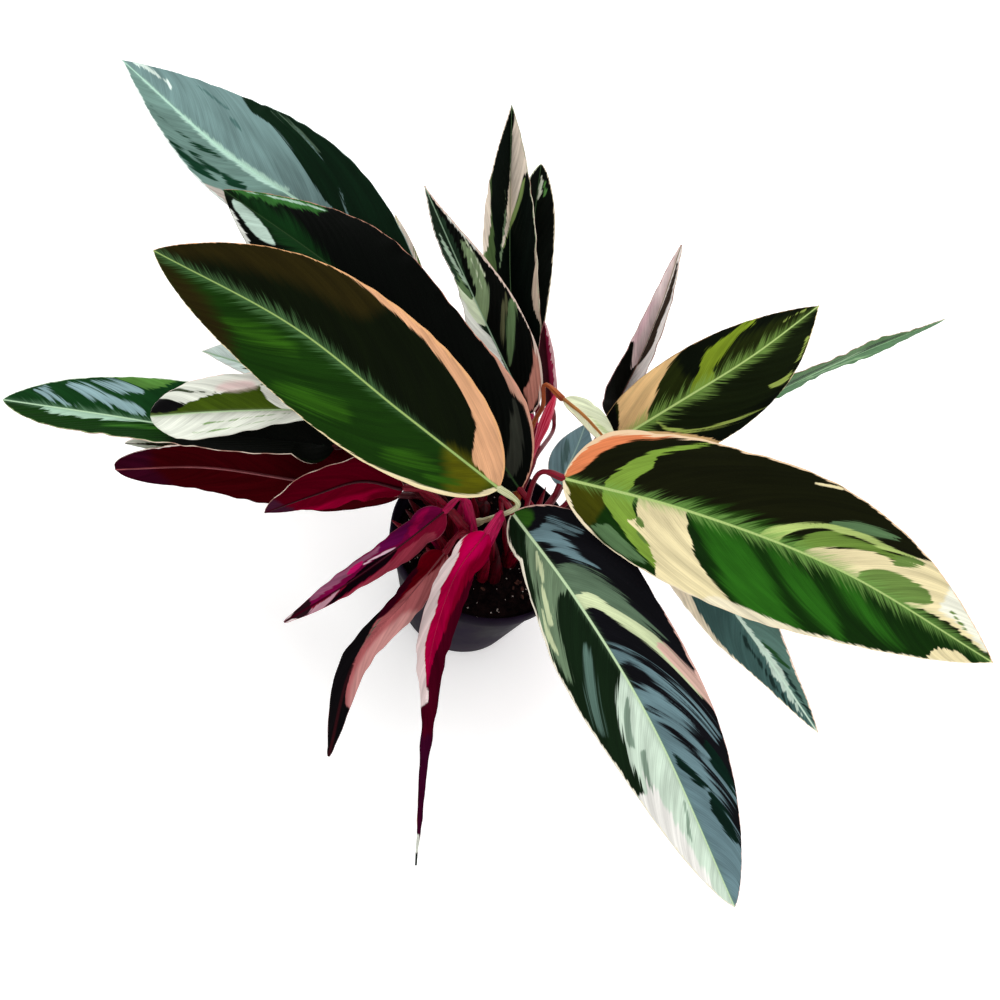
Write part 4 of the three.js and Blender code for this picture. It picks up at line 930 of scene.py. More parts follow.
        "width": 42, "peak": 0.3, "blunt": 2.3, "left": [0.8, 0.8, 0.8, 0.8, 0.75, 0.4, 0.3, 0.3, 0.5],
        "right": [0.85, 0.9, 1.1, 1.1],
        "fold": [60, 60, 62, 72, 80, 84], "curl": 10, "seen": "under", "slot": "crimson_leaf",
        "midrib": [[0, -37, 141], [-7, -68, 134], [-4, -98, 104], [8, -122, 68], [24, -157, 30],
                   [34, -181, 12]],
        "facing": [[-0.1, 0.2, -1], [0, 0.5, -0.8], [-0.1, 0.7, -0.7], [-0.1, 0.7, -0.7],
                   [-0.1, 0.7, -0.7]],
        "coreWidth": [(0, 0.3), (0.44, 0.3), (0.5, -0.5), (1, -0.5)], "featherWidth": [(0, -1), (1, -3)],
        "marginLeft": [(0, 0.3), (0.5, 0.2), (1, -0.5)], "marginRight": [(0, 0.3), (0.5, 0.2), (1, -0.5)],
        "skin": {"left": (160, 0, 56), "right": (142, 0, 48), "core": (140, 0, 48),
                 "feather": (140, 0, 44), "edgeLeft": (150, 90, 104), "edgeRight": (90, 10, 36)},
        "paints": [
            ((184, 0, 74), 3, 2, [(-2, -30), (10, -40), (20, -10), (10, 30), (-2, 40)]),
            ((112, 0, 30), 1.5, 1.5, [(5, 50), (18, 40), (35, 45), (45, 110), (5, 112)]),
            ((62, 2, 20), 1, 1.5,
             [(28, 62), (38, 42), (46, 12), (51, -4), (56, -30), (60, -114), (104, -114), (104, 114),
              (18, 114), (18, 80)]),
            ((50, 5, 30), 2, 1, [(66, -112), (66, 112), (92, 112), (92, -112)]),
            ((24, 34, 28), 1, 1, [(95, -112), (95, 112), (104, 112), (104, -112)]),
            ((214, 196, 194), 0.5, 0.8,
             [(4, -112), (7, -80), (12, -50), (18, -38), (25, -45), (30, -32), (38, -40), (45, -25),
              (50, -5), (55, 5), (58, -45), (60, -112)]),
            ((206, 210, 198), 0.5, 0.6, [(87, -112), (88, 20), (92, 60), (95, 20), (95, -112)])],
    },
    "leaf_centre_arched": {
        "width": 34, "peak": 0.4, "blunt": 1, "left": 0.25, "right": 0.75, "fold": 15, "curl": 10,
        "wave": 0.8, "small": True, "seen": "under", "slot": "pale_leaf",
        "midrib": [[13, 64, 160], [29, 57, 160], [47, 55, 150], [68, 56, 132]],
        "facing": [[0.2, 0.3, -0.9], [-0.2, 0.3, -0.9], [-0.5, 0.4, -0.8], [-0.6, 0.4, -0.7]],
        "coreWidth": [(0, 0.8), (0.5, 0.8), (0.8, 0.4), (1, 0.3)], "featherWidth": [(0, 0), (1, 0)],
        "marginLeft": [(0, 0.4), (1, 0.4)], "marginRight": [(0, 0.4), (1, 0.4)],
        "skin": {"left": (226, 228, 192), "right": (228, 236, 200), "core": (176, 116, 60),
                 "feather": (200, 190, 140), "edgeLeft": (210, 200, 160), "edgeRight": (212, 208, 170)},
        "paints": [((198, 214, 160), 1, 2, [(35, 20), (50, 40), (75, 60), (70, 30), (50, 15)])],
    },
    "leaf_centre_young": {
        "width": 28, "peak": 0.4, "blunt": 1, "fold": 10, "curl": 10, "wave": 0.8, "small": True,
        "slot": "grey_green_leaf",
        "midrib": [[33, 51, 98], [34, 66, 103], [35, 81, 108], [35, 99, 112]],
        "facing": [[0, -0.3, 0.9], [0, -0.3, 0.9], [-0.1, -0.3, 1], [-0.1, -0.2, 1]],
        "coreWidth": [(0, 0.5), (1, 0.3)], "featherWidth": [(0, 0.6), (1, 0.6)],
        "marginLeft": [(0, 0.5), (1, 0.5)], "marginRight": [(0, 0.5), (1, 0.5)],
        "skin": {"left": (110, 140, 145), "right": (106, 136, 142), "core": (150, 180, 170),
                 "feather": (130, 160, 156), "edgeLeft": (176, 180, 168)},
        "paints": [((78, 106, 104), 0.8, 1.5, [(20, 10), (40, 50), (70, 80), (55, 30)],
                    [(20, -10), (40, -50), (70, -80), (55, -30)])],
    },
    "leaf_rear_young": {
        "width": 30, "peak": 0.4, "blunt": 1, "right": 0.5, "fold": 10, "curl": 10, "wave": 0.8,
        "small": True, "slot": "pale_leaf",
        "midrib": [[-97, 148, 106], [-110, 148, 128], [-124, 154, 148], [-138, 166, 162]],
        "facing": [[0.5, -0.8, 0.3], [0.4, -0.8, 0.4], [0.2, -0.8, 0.6], [0.1, -0.7, 0.7]],
        "coreWidth": [(0, 0.5), (1, 0.3)], "featherWidth": [(0, 0.3), (1, 0.3)],
        "marginLeft": [(0, 0.4), (1, 0.4)], "marginRight": [(0, 0.4), (1, 0.4)],
        "skin": {"left": (252, 249, 226), "right": (252, 247, 228), "core": (216, 212, 164),
                 "feather": (220, 214, 178), "edgeLeft": (230, 204, 184)},
        "paints": [((116, 148, 76), 0.6, 1.2, [(20, 50), (40, 70), (62, 80), (66, 112), (20, 112)])],
    },
}

blade = {"thickness": 0.5, "pleatDepth": 0.3, "pleatSpan": 8.5, "edgeRipple": 0.5, "frillSpan": 17,
         "grooveDepth": 0.35, "grooveWidth": 1.4, "neckHalfWidth": 1.6, "tipHalfWidth": 0.5,
         "foldRise": 0.12, "foldRoom": 1.8, "ribRadius": (0.9, 0.22), "ribSides": 10, "ribSteps": 56,
         "paintReach": 10, "columns": 64, "rows": 200, "smallColumns": 40, "smallRows": 110}


def widthShare(leaf, t):
    past = np.clip((t - leaf["peak"]) / (1 - leaf["peak"]), 0, 1)
    rising = (1 - np.clip(1 - t / leaf["peak"], 0, 1) ** 2.4) ** 0.6
    return np.where(t < leaf["peak"], rising, np.maximum(0, 1 - past ** 2.1) ** leaf["blunt"])


def bladeShape(leaf, t, u, phase):
    # points of the flat middle of the blade, for t from base to tip and u from edge to edge
    centre = evenCurve(leaf["midrib"], t)
    forward = evenCurve(leaf["midrib"], np.minimum(1, t + 0.01))
    forward = forward - evenCurve(leaf["midrib"], np.maximum(0, t - 0.01))
    forward /= np.linalg.norm(forward, axis=1)[:, None]
    up = evenCurve(leaf["facing"], t)
    up = up - (up * forward).sum(1)[:, None] * forward
    up /= np.linalg.norm(up, axis=1)[:, None]
    right = np.cross(forward, up)
    isRight = u >= 0
    out = np.abs(u)
    rise = np.minimum(1, t / blade["foldRise"])
    share = np.where(isRight, along(leaf.get("right", 1), t), along(leaf.get("left", 1), t))
    least = np.where(t < 0.008, blade["neckHalfWidth"], blade["tipHalfWidth"])
    reach = np.maximum(leaf["width"] / 2 * share * widthShare(leaf, t), least)
    foldRight = along(leaf.get("foldRight", leaf.get("fold", 0)), t)
    foldLeft = along(leaf.get("foldLeft", leaf.get("fold", 0)), t)
    fold = np.radians(np.where(isRight, foldRight, foldLeft))
    fold = np.minimum(fold, np.arctan(reach / blade["foldRoom"])) * rise
    curl = np.radians(along(leaf["curl"], t)) * rise + 1e-6
    aside = reach / curl * (np.sin(fold) - np.sin(fold - curl * out))
    lift = reach / curl * (np.cos(fold - curl * out) - np.cos(fold))
    turns = 2.5 * t + phase + np.where(isRight, 0.3, 0)
    ripple = leaf.get("wave", 1.5) * out ** 1.6 * np.sin(2 * math.pi * turns) * np.sin(math.pi * t)
    points = centre + right * (np.sign(u) * aside)[:, None] + up * (lift + ripple)[:, None]
    # the blade's own normal, for relief that stands off the curved face
    slope = fold - curl * out
    tilt = -np.sign(u) * np.sin(slope)
    normal = up * np.cos(slope)[:, None] + right * tilt[:, None]
    return points, reach, normal


def roundedOutline(corners):
    # closed outline through its corners, rounded a little between them
    p = np.array(corners, float) / 100
    before, after = np.roll(p, 1, 0), np.roll(p, -1, 0)
    pull = (after - before) * 0.33
    steps = []
    for f in (0, 0.2, 0.4, 0.6, 0.8):
        a, b = 2 * f ** 3 - 3 * f ** 2 + 1, f ** 3 - 2 * f ** 2 + f
        steps.append(a * p + b * pull + (1 - a) * after + (f ** 3 - f ** 2) * np.roll(pull, -1, 0))
    return np.stack(steps, 1).reshape(-1, 2)


def insideDepth(leaf, length, outlines, t, u, away):
    # how far each point lies inside the outlines of one paint, in mm, below zero when outside
    most = blade["paintReach"]
    deepest = np.full(len(t), -float(most))
    for corners in outlines:
        us = [corner[1] for corner in corners]
        half = -1 if max(us) <= 2 else 1 if min(us) >= -2 else 0
        if half:
            # a paint of one half reaches a little past the midrib, where the other half cuts it off
            corners = [(ct, -half * 30) if abs(cu) <= 3 else (ct, cu) for ct, cu in corners]
        line = roundedOutline(corners)
        ends = bladeShape(leaf, np.clip(line[:, 0], 0, 1), np.full(len(line), half or 1.0), 0)[1]
        line = np.stack([line[:, 0] * length, line[:, 1] * np.maximum(ends, 3)], 1)
        x, y = t * length, away
        nearest = np.full(len(t), 1e9)
        inside = np.zeros(len(t), bool)
        for (ax, ay), (bx, by) in zip(line, np.roll(line, -1, 0)):
            dx, dy = bx - ax, by - ay
            share = np.clip(((x - ax) * dx + (y - ay) * dy) / (dx * dx + dy * dy + 1e-9), 0, 1)
            nearest = np.minimum(nearest, (x - ax - share * dx) ** 2 + (y - ay - share * dy) ** 2)
            if ay != by:
                inside ^= ((ay > y) != (by > y)) & (x < (bx - ax) * (y - ay) / (by - ay) + ax)
        depth = np.sqrt(nearest) * np.where(inside, 1, -1)
        if half:
            depth = np.where(u * half < 0, -most, depth)
        deepest = np.maximum(deepest, depth)
    return np.clip(deepest, -most, most)


def makeBlade(index, nodeName, leaf):
    name = nodeName.replace("leaf_", "blade_")
    columns, rows = blade["columns"], blade["rows"]
    if leaf.get("small"):
        columns, rows = blade["smallColumns"], blade["smallRows"]
    piece, x, v = freshGrid(name, columns, rows)
    t = v - 0.35 * np.sin(2 * math.pi * v) / (2 * math.pi)
    u = x - 0.15 * np.sin(2 * math.pi * x) / (2 * math.pi)
    u = np.where(np.abs(u) < 1e-6, 0, u)
    phase = 0.37 * index
    points, reach, normal = bladeShape(leaf, t, u, phase)

    stops = np.linspace(0, 1, 201)
    midrib = evenCurve(leaf["midrib"], stops)
    walked = np.concatenate([[0], np.cumsum(np.linalg.norm(np.diff(midrib, axis=0), axis=1))])
    length = walked[-1]
    away = reach * u
    out = np.abs(u)
    # side veins leave the midrib at a narrow angle and bend along the edge
    lean, bend = leaf.get("lean", (1.3, 1.1))
    vein = np.interp(t, stops, walked) - np.abs(away) * (lean + bend * out ** 2)

    # relief: pleats along the side veins, a groove over the midrib, a frilled edge
    envelope = ease(out, 0.05, 0.3) * (1 - 0.5 * out) * ease(t, 0, 0.1) * ease(1 - t, 0, 0.1)
    pleat = np.sin(2 * math.pi * vein / blade["pleatSpan"] + index + 1.3 * np.sin(vein / 23 + index))
    narrow = np.clip(leaf["width"] / 70, 0.3, 1)
    relief = blade["pleatDepth"] * leaf.get("pleat", 1) * narrow * pleat * envelope
    relief -= blade["grooveDepth"] * np.exp(-(away / blade["grooveWidth"]) ** 2) * ease(t, 0, 0.05)
    frill = np.sin(2 * math.pi * t * length / blade["frillSpan"] + 2 * index)
    frill += 0.6 * np.sin(t * length / 1.9 + index)
    relief += blade["edgeRipple"] * narrow * ease(out, 0.72, 1) * frill * np.sin(math.pi * t)
    movePoints(piece, points + normal * relief[:, None])

    paintUv(piece, vein / 10, away / 10)
    side = np.where(u < 0, keyed(leaf["marginLeft"], t), keyed(leaf["marginRight"], t))
    paintPoints(piece, "lines", [keyed(leaf["coreWidth"], t) / 10, keyed(leaf["featherWidth"], t) / 10,
                                 side / 10, reach * (1 - out) / 10])
    depths = [insideDepth(leaf, length, paint[3:], t, u, away) / 10 for paint in leaf["paints"]]
    depths += [np.full(len(t), -1.0)] * (-len(depths) % 4)
    for k in range(0, len(depths), 4):
        paintPoints(piece, "paints_%d" % (k // 4), depths[k:k + 4])

    upper, under = skinSides(leaf)
    piece.data.materials.append(makeSkin(name + "_upper", 3.7 * index, upper))
    piece.data.materials.append(makeSkin(name + "_under", 3.7 * index, under))
    piece.data.materials.append(rimMaterial)
    smooth(piece)
    applyModifier(piece, "SOLIDIFY", thickness=blade["thickness"] * mm, offset=0,
                  material_offset=1, material_offset_rim=2, use_even_offset=False)

    # the rib that stands out below the middle
    steps = blade["ribSteps"]
    ribT = np.linspace(0, leaf.get("ribEnd", 0.97), steps)
    ribPoints, _, ribNormal = bladeShape(leaf, ribT, np.zeros(steps), phase)
    thick, thin = [radius * leaf.get("rib", 1) for radius in blade["ribRadius"]]
    radii = [(0, 0.01), (0.004, thick * 1.2), (0.1, thick), (0.97, thin), (1, 0.01)]
    drop = keyed(radii[1:], np.linspace(0, 1, steps)) + blade["thickness"]
    rib = makeRod(name + "_rib", ribPoints - ribNormal * drop[:, None], radii, blade["ribSides"],
                  makeRibMaterial(name + "_rib", leaf.get("ribTint", under["core"])))
    piece = joinPieces([piece, rib], name)
    settle(piece, leaf["slot"], nodeName)


for index, (nodeName, leaf) in enumerate(leaves.items()):
    makeBlade(index, nodeName, leaf)
print("blades made:", len(leaves))


# stalks

def makeStalkMaterial(name, deep, bright, cloudTint):
    # satin, with fine lines along the stalk
    material, tree, shader = newMaterial(name, 0.42, 0.16)
    uv = node(tree, "UVMap", uv_map="veins").outputs[0]
    split = node(tree, "SeparateXYZ", {0: uv})
    around = calc(tree, "MULTIPLY", split.outputs[1], 26.0)
    lengthwise = noiseAt(tree, place(tree, calc(tree, "MULTIPLY", split.outputs[0], 0.5), around), 1, 2)
    spot = node(tree, "TexCoord").outputs["Object"]
    cloud = noiseAt(tree, spot, 55, 3, 0.6)
    colour = mixed(tree, fade(tree, lengthwise, 0.35, 0.65), linear(deep), linear(bright))
    colour = mixed(tree, fade(tree, cloud, 0.5, 0.75, 0, 0.7), colour, linear(cloudTint))
    tree.links.new(colour, shader.inputs["Base Color"])
    tree.links.new(fade(tree, cloud, 0.3, 0.7, 0.34, 0.52), shader.inputs["Roughness"])
    bump = node(tree, "Bump", {"Strength": 0.3, "Distance": 0.0003, "Height": lengthwise})
    tree.links.new(bump.outputs[0], shader.inputs["Normal"])
    return material


stalkMaterials = {
    "crimson": makeStalkMaterial("stalk_crimson", (72, 0, 12), (128, 2, 34), (50, 2, 8)),
    "magenta": makeStalkMaterial("stalk_magenta", (124, 0, 46), (184, 8, 80), (96, 2, 24)),
    "rose": makeStalkMaterial("stalk_rose", (190, 0, 48), (226, 84, 112), (214, 40, 84)),
    "maroon": makeStalkMaterial("stalk_maroon", (44, 0, 6), (78, 4, 18), (26, 2, 6)),
    "orange": makeStalkMaterial("stalk_orange", (120, 46, 22), (176, 92, 44), (96, 20, 20)),
    "pale": makeStalkMaterial("stalk_pale", (156, 160, 112), (214, 216, 178), (150, 84, 66))}

# 'from' is the height where a stalk leaves its shoot, and 'by' are places on its way to the blade
shoots = {
    "shoot_front": {"foot": (2, -16), "stalks": {
        "leaf_front_long_tip": {"from": 88, "sheath": 0.7, "wide": 4, "tint": "magenta"},
        "leaf_front_drooping": {"from": 84, "sheath": 0.7, "wide": 4},
        "leaf_front_left": {"from": 82, "sheath": 0.7, "wide": 3.8, "tint": "magenta"},
        "leaf_left_short": {"from": 90, "sheath": 0.6, "wide": 3.4}},
        "spikes": [{"tip": (-8, -28, 128)},
                   {"tip": (0, -19, 124), "base": (8, -18), "wide": 4.2, "tint": "magenta"},
                   {"tip": (4, -17, 116), "base": (14, -15), "wide": 4},
                   {"tip": (6, -17, 110), "base": (18, -14), "wide": 3.6, "tint": "maroon"},
                   {"tip": (-10, -20, 122), "base": (-5, -14), "wide": 4, "tint": "magenta"},
                   {"tip": (-30, -28, 112), "base": (-8, -18), "wide": 4},
                   {"tip": (-22, -36, 106), "base": (-4, -22), "wide": 4, "tint": "maroon"},
                   {"tip": (-8, -38, 108), "base": (2, -24), "wide": 4, "tint": "magenta"},
                   {"tip": (8, -30, 106), "base": (8, -22), "wide": 3.6},
                   {"tip": (-16, -42, 110), "base": (-4, -28), "wide": 5, "tint": "maroon"},
                   {"tip": (-30, -38, 106), "base": (-12, -26), "wide": 4.4},
                   {"tip": (12, -22, 104), "base": (16, -20), "wide": 4.4, "tint": "maroon"}]},
    "shoot_left": {"foot": (-16, -2), "stalks": {
        "leaf_left_top": {"from": 90, "tint": "pale"}, "leaf_left_low": {"from": 84, "tint": "maroon"},
        "leaf_left_low_rear": {"from": 88, "tint": "maroon"},
        "leaf_far_left": {"from": 84, "by": [(-52, -8, 114)], "tint": "maroon"},
        "leaf_left_rolled": {"from": 90, "by": [(-50, -8, 118), (-78, -7, 142)]}},
        "spikes": [{"tip": (-27, -10, 120), "wide": 4}, {"tip": (-36, -13, 122), "wide": 4},
                   {"tip": (-21, -7, 124), "wide": 4.2, "tint": "magenta"},
                   {"tip": (-44, -20, 112), "base": (-18, -6), "wide": 4},
                   {"tip": (-38, -26, 108), "base": (-16, -10), "wide": 4, "tint": "magenta"},
                   {"tip": (-52, -14, 112), "base": (-22, -4), "wide": 4.6, "tint": "maroon"},
                   {"tip": (-50, -24, 114), "base": (-22, -8), "wide": 4.2, "tint": "maroon"},
                   {"tip": (-56, -28, 104), "base": (-26, -12), "wide": 3.6}]},
    "shoot_rear_left": {"foot": (-8, 18), "stalks": {
        "leaf_left_rear": {"from": 88}, "leaf_left_behind": {"from": 86, "tint": "maroon"},
        "leaf_rear_young": {"from": 83, "by": [(-30, 50, 104)], "tint": "maroon"}},
        "spikes": [{"tip": (-12, 30, 112)}, {"tip": (-16, 6, 112), "wide": 4}]},
    "shoot_rear": {"foot": (10, 26), "stalks": {
        "leaf_left_dark": {"from": 90}, "leaf_upright_striped": {"from": 86, "tint": "magenta"},
        "leaf_upright_rear": {"from": 88, "by": [(8, 72, 104)]},
        "leaf_upright_slim": {"from": 90, "lead": 8},
        "leaf_upright_young": {"from": 84, "by": [(11, 56, 104)]},
        "leaf_centre_arched": {"from": 92, "by": [(2, 62, 132), (3, 63, 150)], "tint": "orange"}},
        "spikes": [{"tip": (8, 88, 142), "tint": "rose", "bud": True}]},
    "shoot_rear_right": {"foot": (26, 14), "stalks": {
        "leaf_upright_pink": {"from": 90, "lead": 6},
        "leaf_right_rear": {"from": 86, "by": [(42, 40, 104)]},
        "leaf_far_right": {"from": 88, "tint": "maroon"}, "leaf_centre_young": {"from": 80}},
        "spikes": [{"tip": (24, 30, 118)}]},
    "shoot_right": {"foot": (20, -4), "stalks": {
        "leaf_right_top": {"from": 90}, "leaf_front_right": {"from": 86},
        "leaf_right_low": {"from": 82, "tint": "maroon"}},
        "spikes": [{"tip": (22, -14, 116)}]},
}
stalk = {"radius": 1.6, "sheathRadius": 3, "sheath": 0.36, "spikeRadius": 3.4, "jointRadius": 2.1,
         "jointLength": 9, "spread": 3, "lead": 15, "sides": 16, "soilTop": 74, "soilSink": 8}


def stalkRoute(foot, nodeName, way):
    base, ahead = evenCurve(leaves[nodeName]["midrib"], np.array([0, 0.01]))
    forward = (ahead - base) / np.linalg.norm(ahead - base)
    outward = base[:2] - np.array(foot)
    outward *= stalk["spread"] / np.linalg.norm(outward)
    points = [(foot[0] + outward[0] / 2, foot[1] + outward[1] / 2, stalk["soilTop"] + 1),
              (foot[0] + outward[0], foot[1] + outward[1], way["from"]), *way.get("by", []),
              base - forward * way.get("lead", stalk["lead"]), base + forward * 1.5]
    return stalkCurve(points)


def seam(turn, depth):
    # the open edge of a rolled sheath, as a crease that winds along it
    return lambda angle, share: 1 - depth * np.exp(-(((angle - turn * share) % 6.283 - 3.14) / 0.3) ** 2)


def makeShoot(nodeName, shoot):
    parts = []
    foot = shoot["foot"]
    for k, (leafName, way) in enumerate(shoot["stalks"].items()):
        path, length = stalkRoute(foot, leafName, way)
        sheath = way.get("sheath", stalk["sheath"])
        wide = way.get("wide", stalk["sheathRadius"])
        joint = 1 - stalk["jointLength"] / length
        radii = [(0, wide), (sheath * 0.7, wide * 0.93), (sheath, wide * 0.8),
                 (sheath + 0.03, stalk["radius"]),
                 (max(joint - 0.03, sheath + 0.05), stalk["radius"] * 0.92),
                 (max(joint, sheath + 0.07), stalk["jointRadius"] * 0.95),
                 (0.99, stalk["jointRadius"]), (1, 0.4)]
        material = stalkMaterials[way.get("tint", "crimson")]
        parts.append(makeRod(leafName + "_stalk", path, radii, stalk["sides"], material, seam(3 + k, 0.1)))
    stemPath = [(foot[0], foot[1], z) for z in (60, 66, 72, 78, 84, 88, 91, 93)]
    radii = [(0, 5.2), (0.6, 5.5), (0.85, 4.6), (0.97, 3), (1, 0.01)]
    parts.append(makeRod(nodeName + "_stem", stemPath, radii, 18, stalkMaterials["maroon"]))
    for k, spike in enumerate(shoot["spikes"]):
        base = spike.get("base", foot)
        start = np.array([base[0], base[1], stalk["soilTop"] - stalk["soilSink"]], float)
        way = np.linspace(0, 1, 44)[:, None]
        path = start + (np.array(spike["tip"]) - start) * way
        wide = spike.get("wide", stalk["spikeRadius"])
        radii = [(0, wide), (0.35, wide * 0.97), (0.7, wide * 0.6), (0.93, wide * 0.2), (1, 0.02)]
        if spike.get("bud"):
            radii = [(0, wide * 0.7), (0.6, wide * 0.55), (0.74, wide * 1.1), (0.86, wide), (1, 0.02)]
        material = stalkMaterials[spike.get("tint", "crimson")]
        parts.append(makeRod(nodeName + "_spike", path, radii, 18, material, seam(5 + k, 0.18)))
    piece = joinPieces(parts, nodeName.replace("shoot_", "stalks_"))
    settle(piece, "crimson_stalk", nodeName)


for nodeName, shoot in shoots.items():
    makeShoot(nodeName, shoot)
print("stalks made:", len(shoots))


# pot

pot = {"height": 86, "rimRadius": 60, "baseRadius": 40, "wall": 1.5, "floor": 2, "bandHeight": 10,
       "bandStep": 2.5, "holeRadius": 4, "holeRing": 27, "holes": 6, "sides": 128, "footRadius": 38.6}


def makePotMaterial():
    material, tree, shader = newMaterial("pot_plastic", 0.5, 0.006)
    spot = node(tree, "TexCoord").outputs["Object"]
    cloud = noiseAt(tree, spot, 30, 3, 0.6)
    grain = noiseAt(tree, spot, 900, 2, 0.6)
    split = node(tree, "SeparateXYZ", {0: spot})
    colour = mixed(tree, fade(tree, cloud, 0.35, 0.65), linear((16, 10, 20)), linear((28, 20, 35)))
    # blotchy lighter grey, strongest at the foot and gone 30 mm up
    paleFoot = calc(tree, "MULTIPLY", fade(tree, split.outputs[2], 0.03, 0.0),
                fade(tree, cloud, 0.4, 0.7, 0.05, 0.4))
    colour = mixed(tree, paleFoot, colour, linear((74, 66, 74)))
    tree.links.new(colour, shader.inputs["Base Color"])
    tree.links.new(fade(tree, cloud, 0.3, 0.7, 0.36, 0.52), shader.inputs["Roughness"])
    bump = node(tree, "Bump", {"Strength": 0.15, "Distance": 0.0002, "Height": grain})
    tree.links.new(bump.outputs[0], shader.inputs["Normal"])
    return material


def makePot():
    bandFoot = pot["height"] - pot["bandHeight"]
    shoulder = pot["rimRadius"] - pot["bandStep"]
    inner = lambda z: pot["baseRadius"] + (shoulder - pot["baseRadius"]) * z / bandFoot - pot["wall"]
    # radius and height of each ring, from the middle of the foot up outside and down inside
    profile = [(pot["footRadius"], 0), (39.6, 0.3), (40.1, 1.2), (shoulder - 0.6, bandFoot - 2),
               (shoulder, bandFoot - 0.4), (shoulder + 0.5, bandFoot), (59.2, bandFoot + 0.3),
               (59.6, bandFoot + 1), (pot["rimRadius"], pot["height"] - 1.2), (59.7, pot["height"] - 0.4),
               (59.2, pot["height"]), (58.8, pot["height"]), (58.5, pot["height"] - 0.5),
               (58, bandFoot + 1.5), (inner(bandFoot - 1), bandFoot - 1), (inner(20), 20),
               (inner(3.5), 3.5), (inner(pot["floor"]) - 1.5, pot["floor"]), (30, pot["floor"]),
               (0.001, pot["floor"])]
    bpy.ops.object.select_all(action="DESELECT")
    bpy.ops.mesh.primitive_circle_add(vertices=pot["sides"], radius=pot["footRadius"] * mm,
                                      fill_type="NGON")
    piece = bpy.context.object
    bpy.ops.object.mode_set(mode="EDIT")
    bpy.ops.mesh.select_all(action="SELECT")
    bpy.ops.mesh.inset(thickness=8 * mm)
    bpy.ops.mesh.select_all(action="DESELECT")
    bpy.ops.mesh.select_mode(type="EDGE")
    bpy.ops.mesh.select_non_manifold()
    radius, height = profile[0]
    for nextRadius, nextHeight in profile[1:]:
        climb = (0, 0, (nextHeight - height) * mm)
        bpy.ops.mesh.extrude_edges_move(TRANSFORM_OT_translate={"value": climb})
        ratio = nextRadius / radius
        bpy.ops.transform.resize(value=(ratio, ratio, 1), center_override=(0, 0, nextHeight * mm))
        radius, height = nextRadius, nextHeight
    bpy.ops.mesh.select_mode(type="VERT")
    bpy.ops.object.mode_set(mode="OBJECT")
    weld(piece)
    holes = []
    for k in range(pot["holes"]):
        angle = k / pot["holes"] * 2 * math.pi
        spot = (pot["holeRing"] * math.cos(angle) * mm, pot["holeRing"] * math.sin(angle) * mm, 0.001)
        bpy.ops.mesh.primitive_cylinder_add(vertices=32, radius=pot["holeRadius"] * mm, depth=0.008,
                                            location=spot)
        holes.append(bpy.context.object)
    cutter = joinPieces(holes, "hole_cutter")
    applyModifier(piece, "BOOLEAN", operation="DIFFERENCE", object=cutter, solver="EXACT")
    bpy.data.objects.remove(cutter)
    piece.name = "nursery_pot"
    piece.data.name = "nursery_pot"
    piece.data.materials.clear()
    piece.data.materials.append(makePotMaterial())
    onlySelect(piece)
    bpy.ops.object.shade_smooth_by_angle(angle=math.radians(32))
    settle(piece, "pot_plastic", "pot")


makePot()
print("pot made")


# soil

soil = {"bottom": 2.4, "edgeTop": 71, "top": 74, "radius": 54.6, "footRadius": 37, "lumpSize": 5.5,
        "lumpHeight": 1.6, "columns": 144, "rows": 70, "wallRows": 4, "grains": 130, "chips": 60,
        "grainReach": 53, "seed": 11}


def makeSoilMaterial():
    material, tree, shader = newMaterial("potting_soil", 0.9, 0.02)
    spot = node(tree, "TexCoord").outputs["Object"]
    coarse = noiseAt(tree, spot, 260, 4, 0.7)
    fine = noiseAt(tree, spot, 1400, 3, 0.7)
    colour = mixed(tree, fade(tree, coarse, 0.35, 0.65), linear((7, 4, 5)), linear((24, 14, 14)))
    colour = mixed(tree, fade(tree, fine, 0.64, 0.74, 0, 0.5), colour, linear((66, 46, 42)))
    tree.links.new(colour, shader.inputs["Base Color"])
    height = calc(tree, "ADD", coarse, calc(tree, "MULTIPLY", fine, 0.4))
    bump = node(tree, "Bump", {"Strength": 0.8, "Distance": 0.0012, "Height": height})
    tree.links.new(bump.outputs[0], shader.inputs["Normal"])
    return material


def makeGritMaterial(name, deep, pale):
    material, tree, shader = newMaterial(name, 0.85, 0.2)
    spot = node(tree, "TexCoord").outputs["Object"]
    cloud = noiseAt(tree, spot, 500, 3, 0.7)
    colour = mixed(tree, fade(tree, cloud, 0.35, 0.65), linear(deep), linear(pale))
    tree.links.new(colour, shader.inputs["Base Color"])
    return material


def soilHeight(x, y):
    # x, y in mm
    spot = Vector((x / soil["lumpSize"], y / soil["lumpSize"], 1.7))
    lumps = noise.fractal(spot, 0.7, 2.1, 4) * soil["lumpHeight"]
    rolls = math.sin(0.19 * x + 0.7) + math.sin(0.23 * y - 0.4) + math.sin(0.14 * (x - y))
    return soil["top"] + 0.5 * rolls + 2 * (1 - math.hypot(x, y) / 60) + lumps


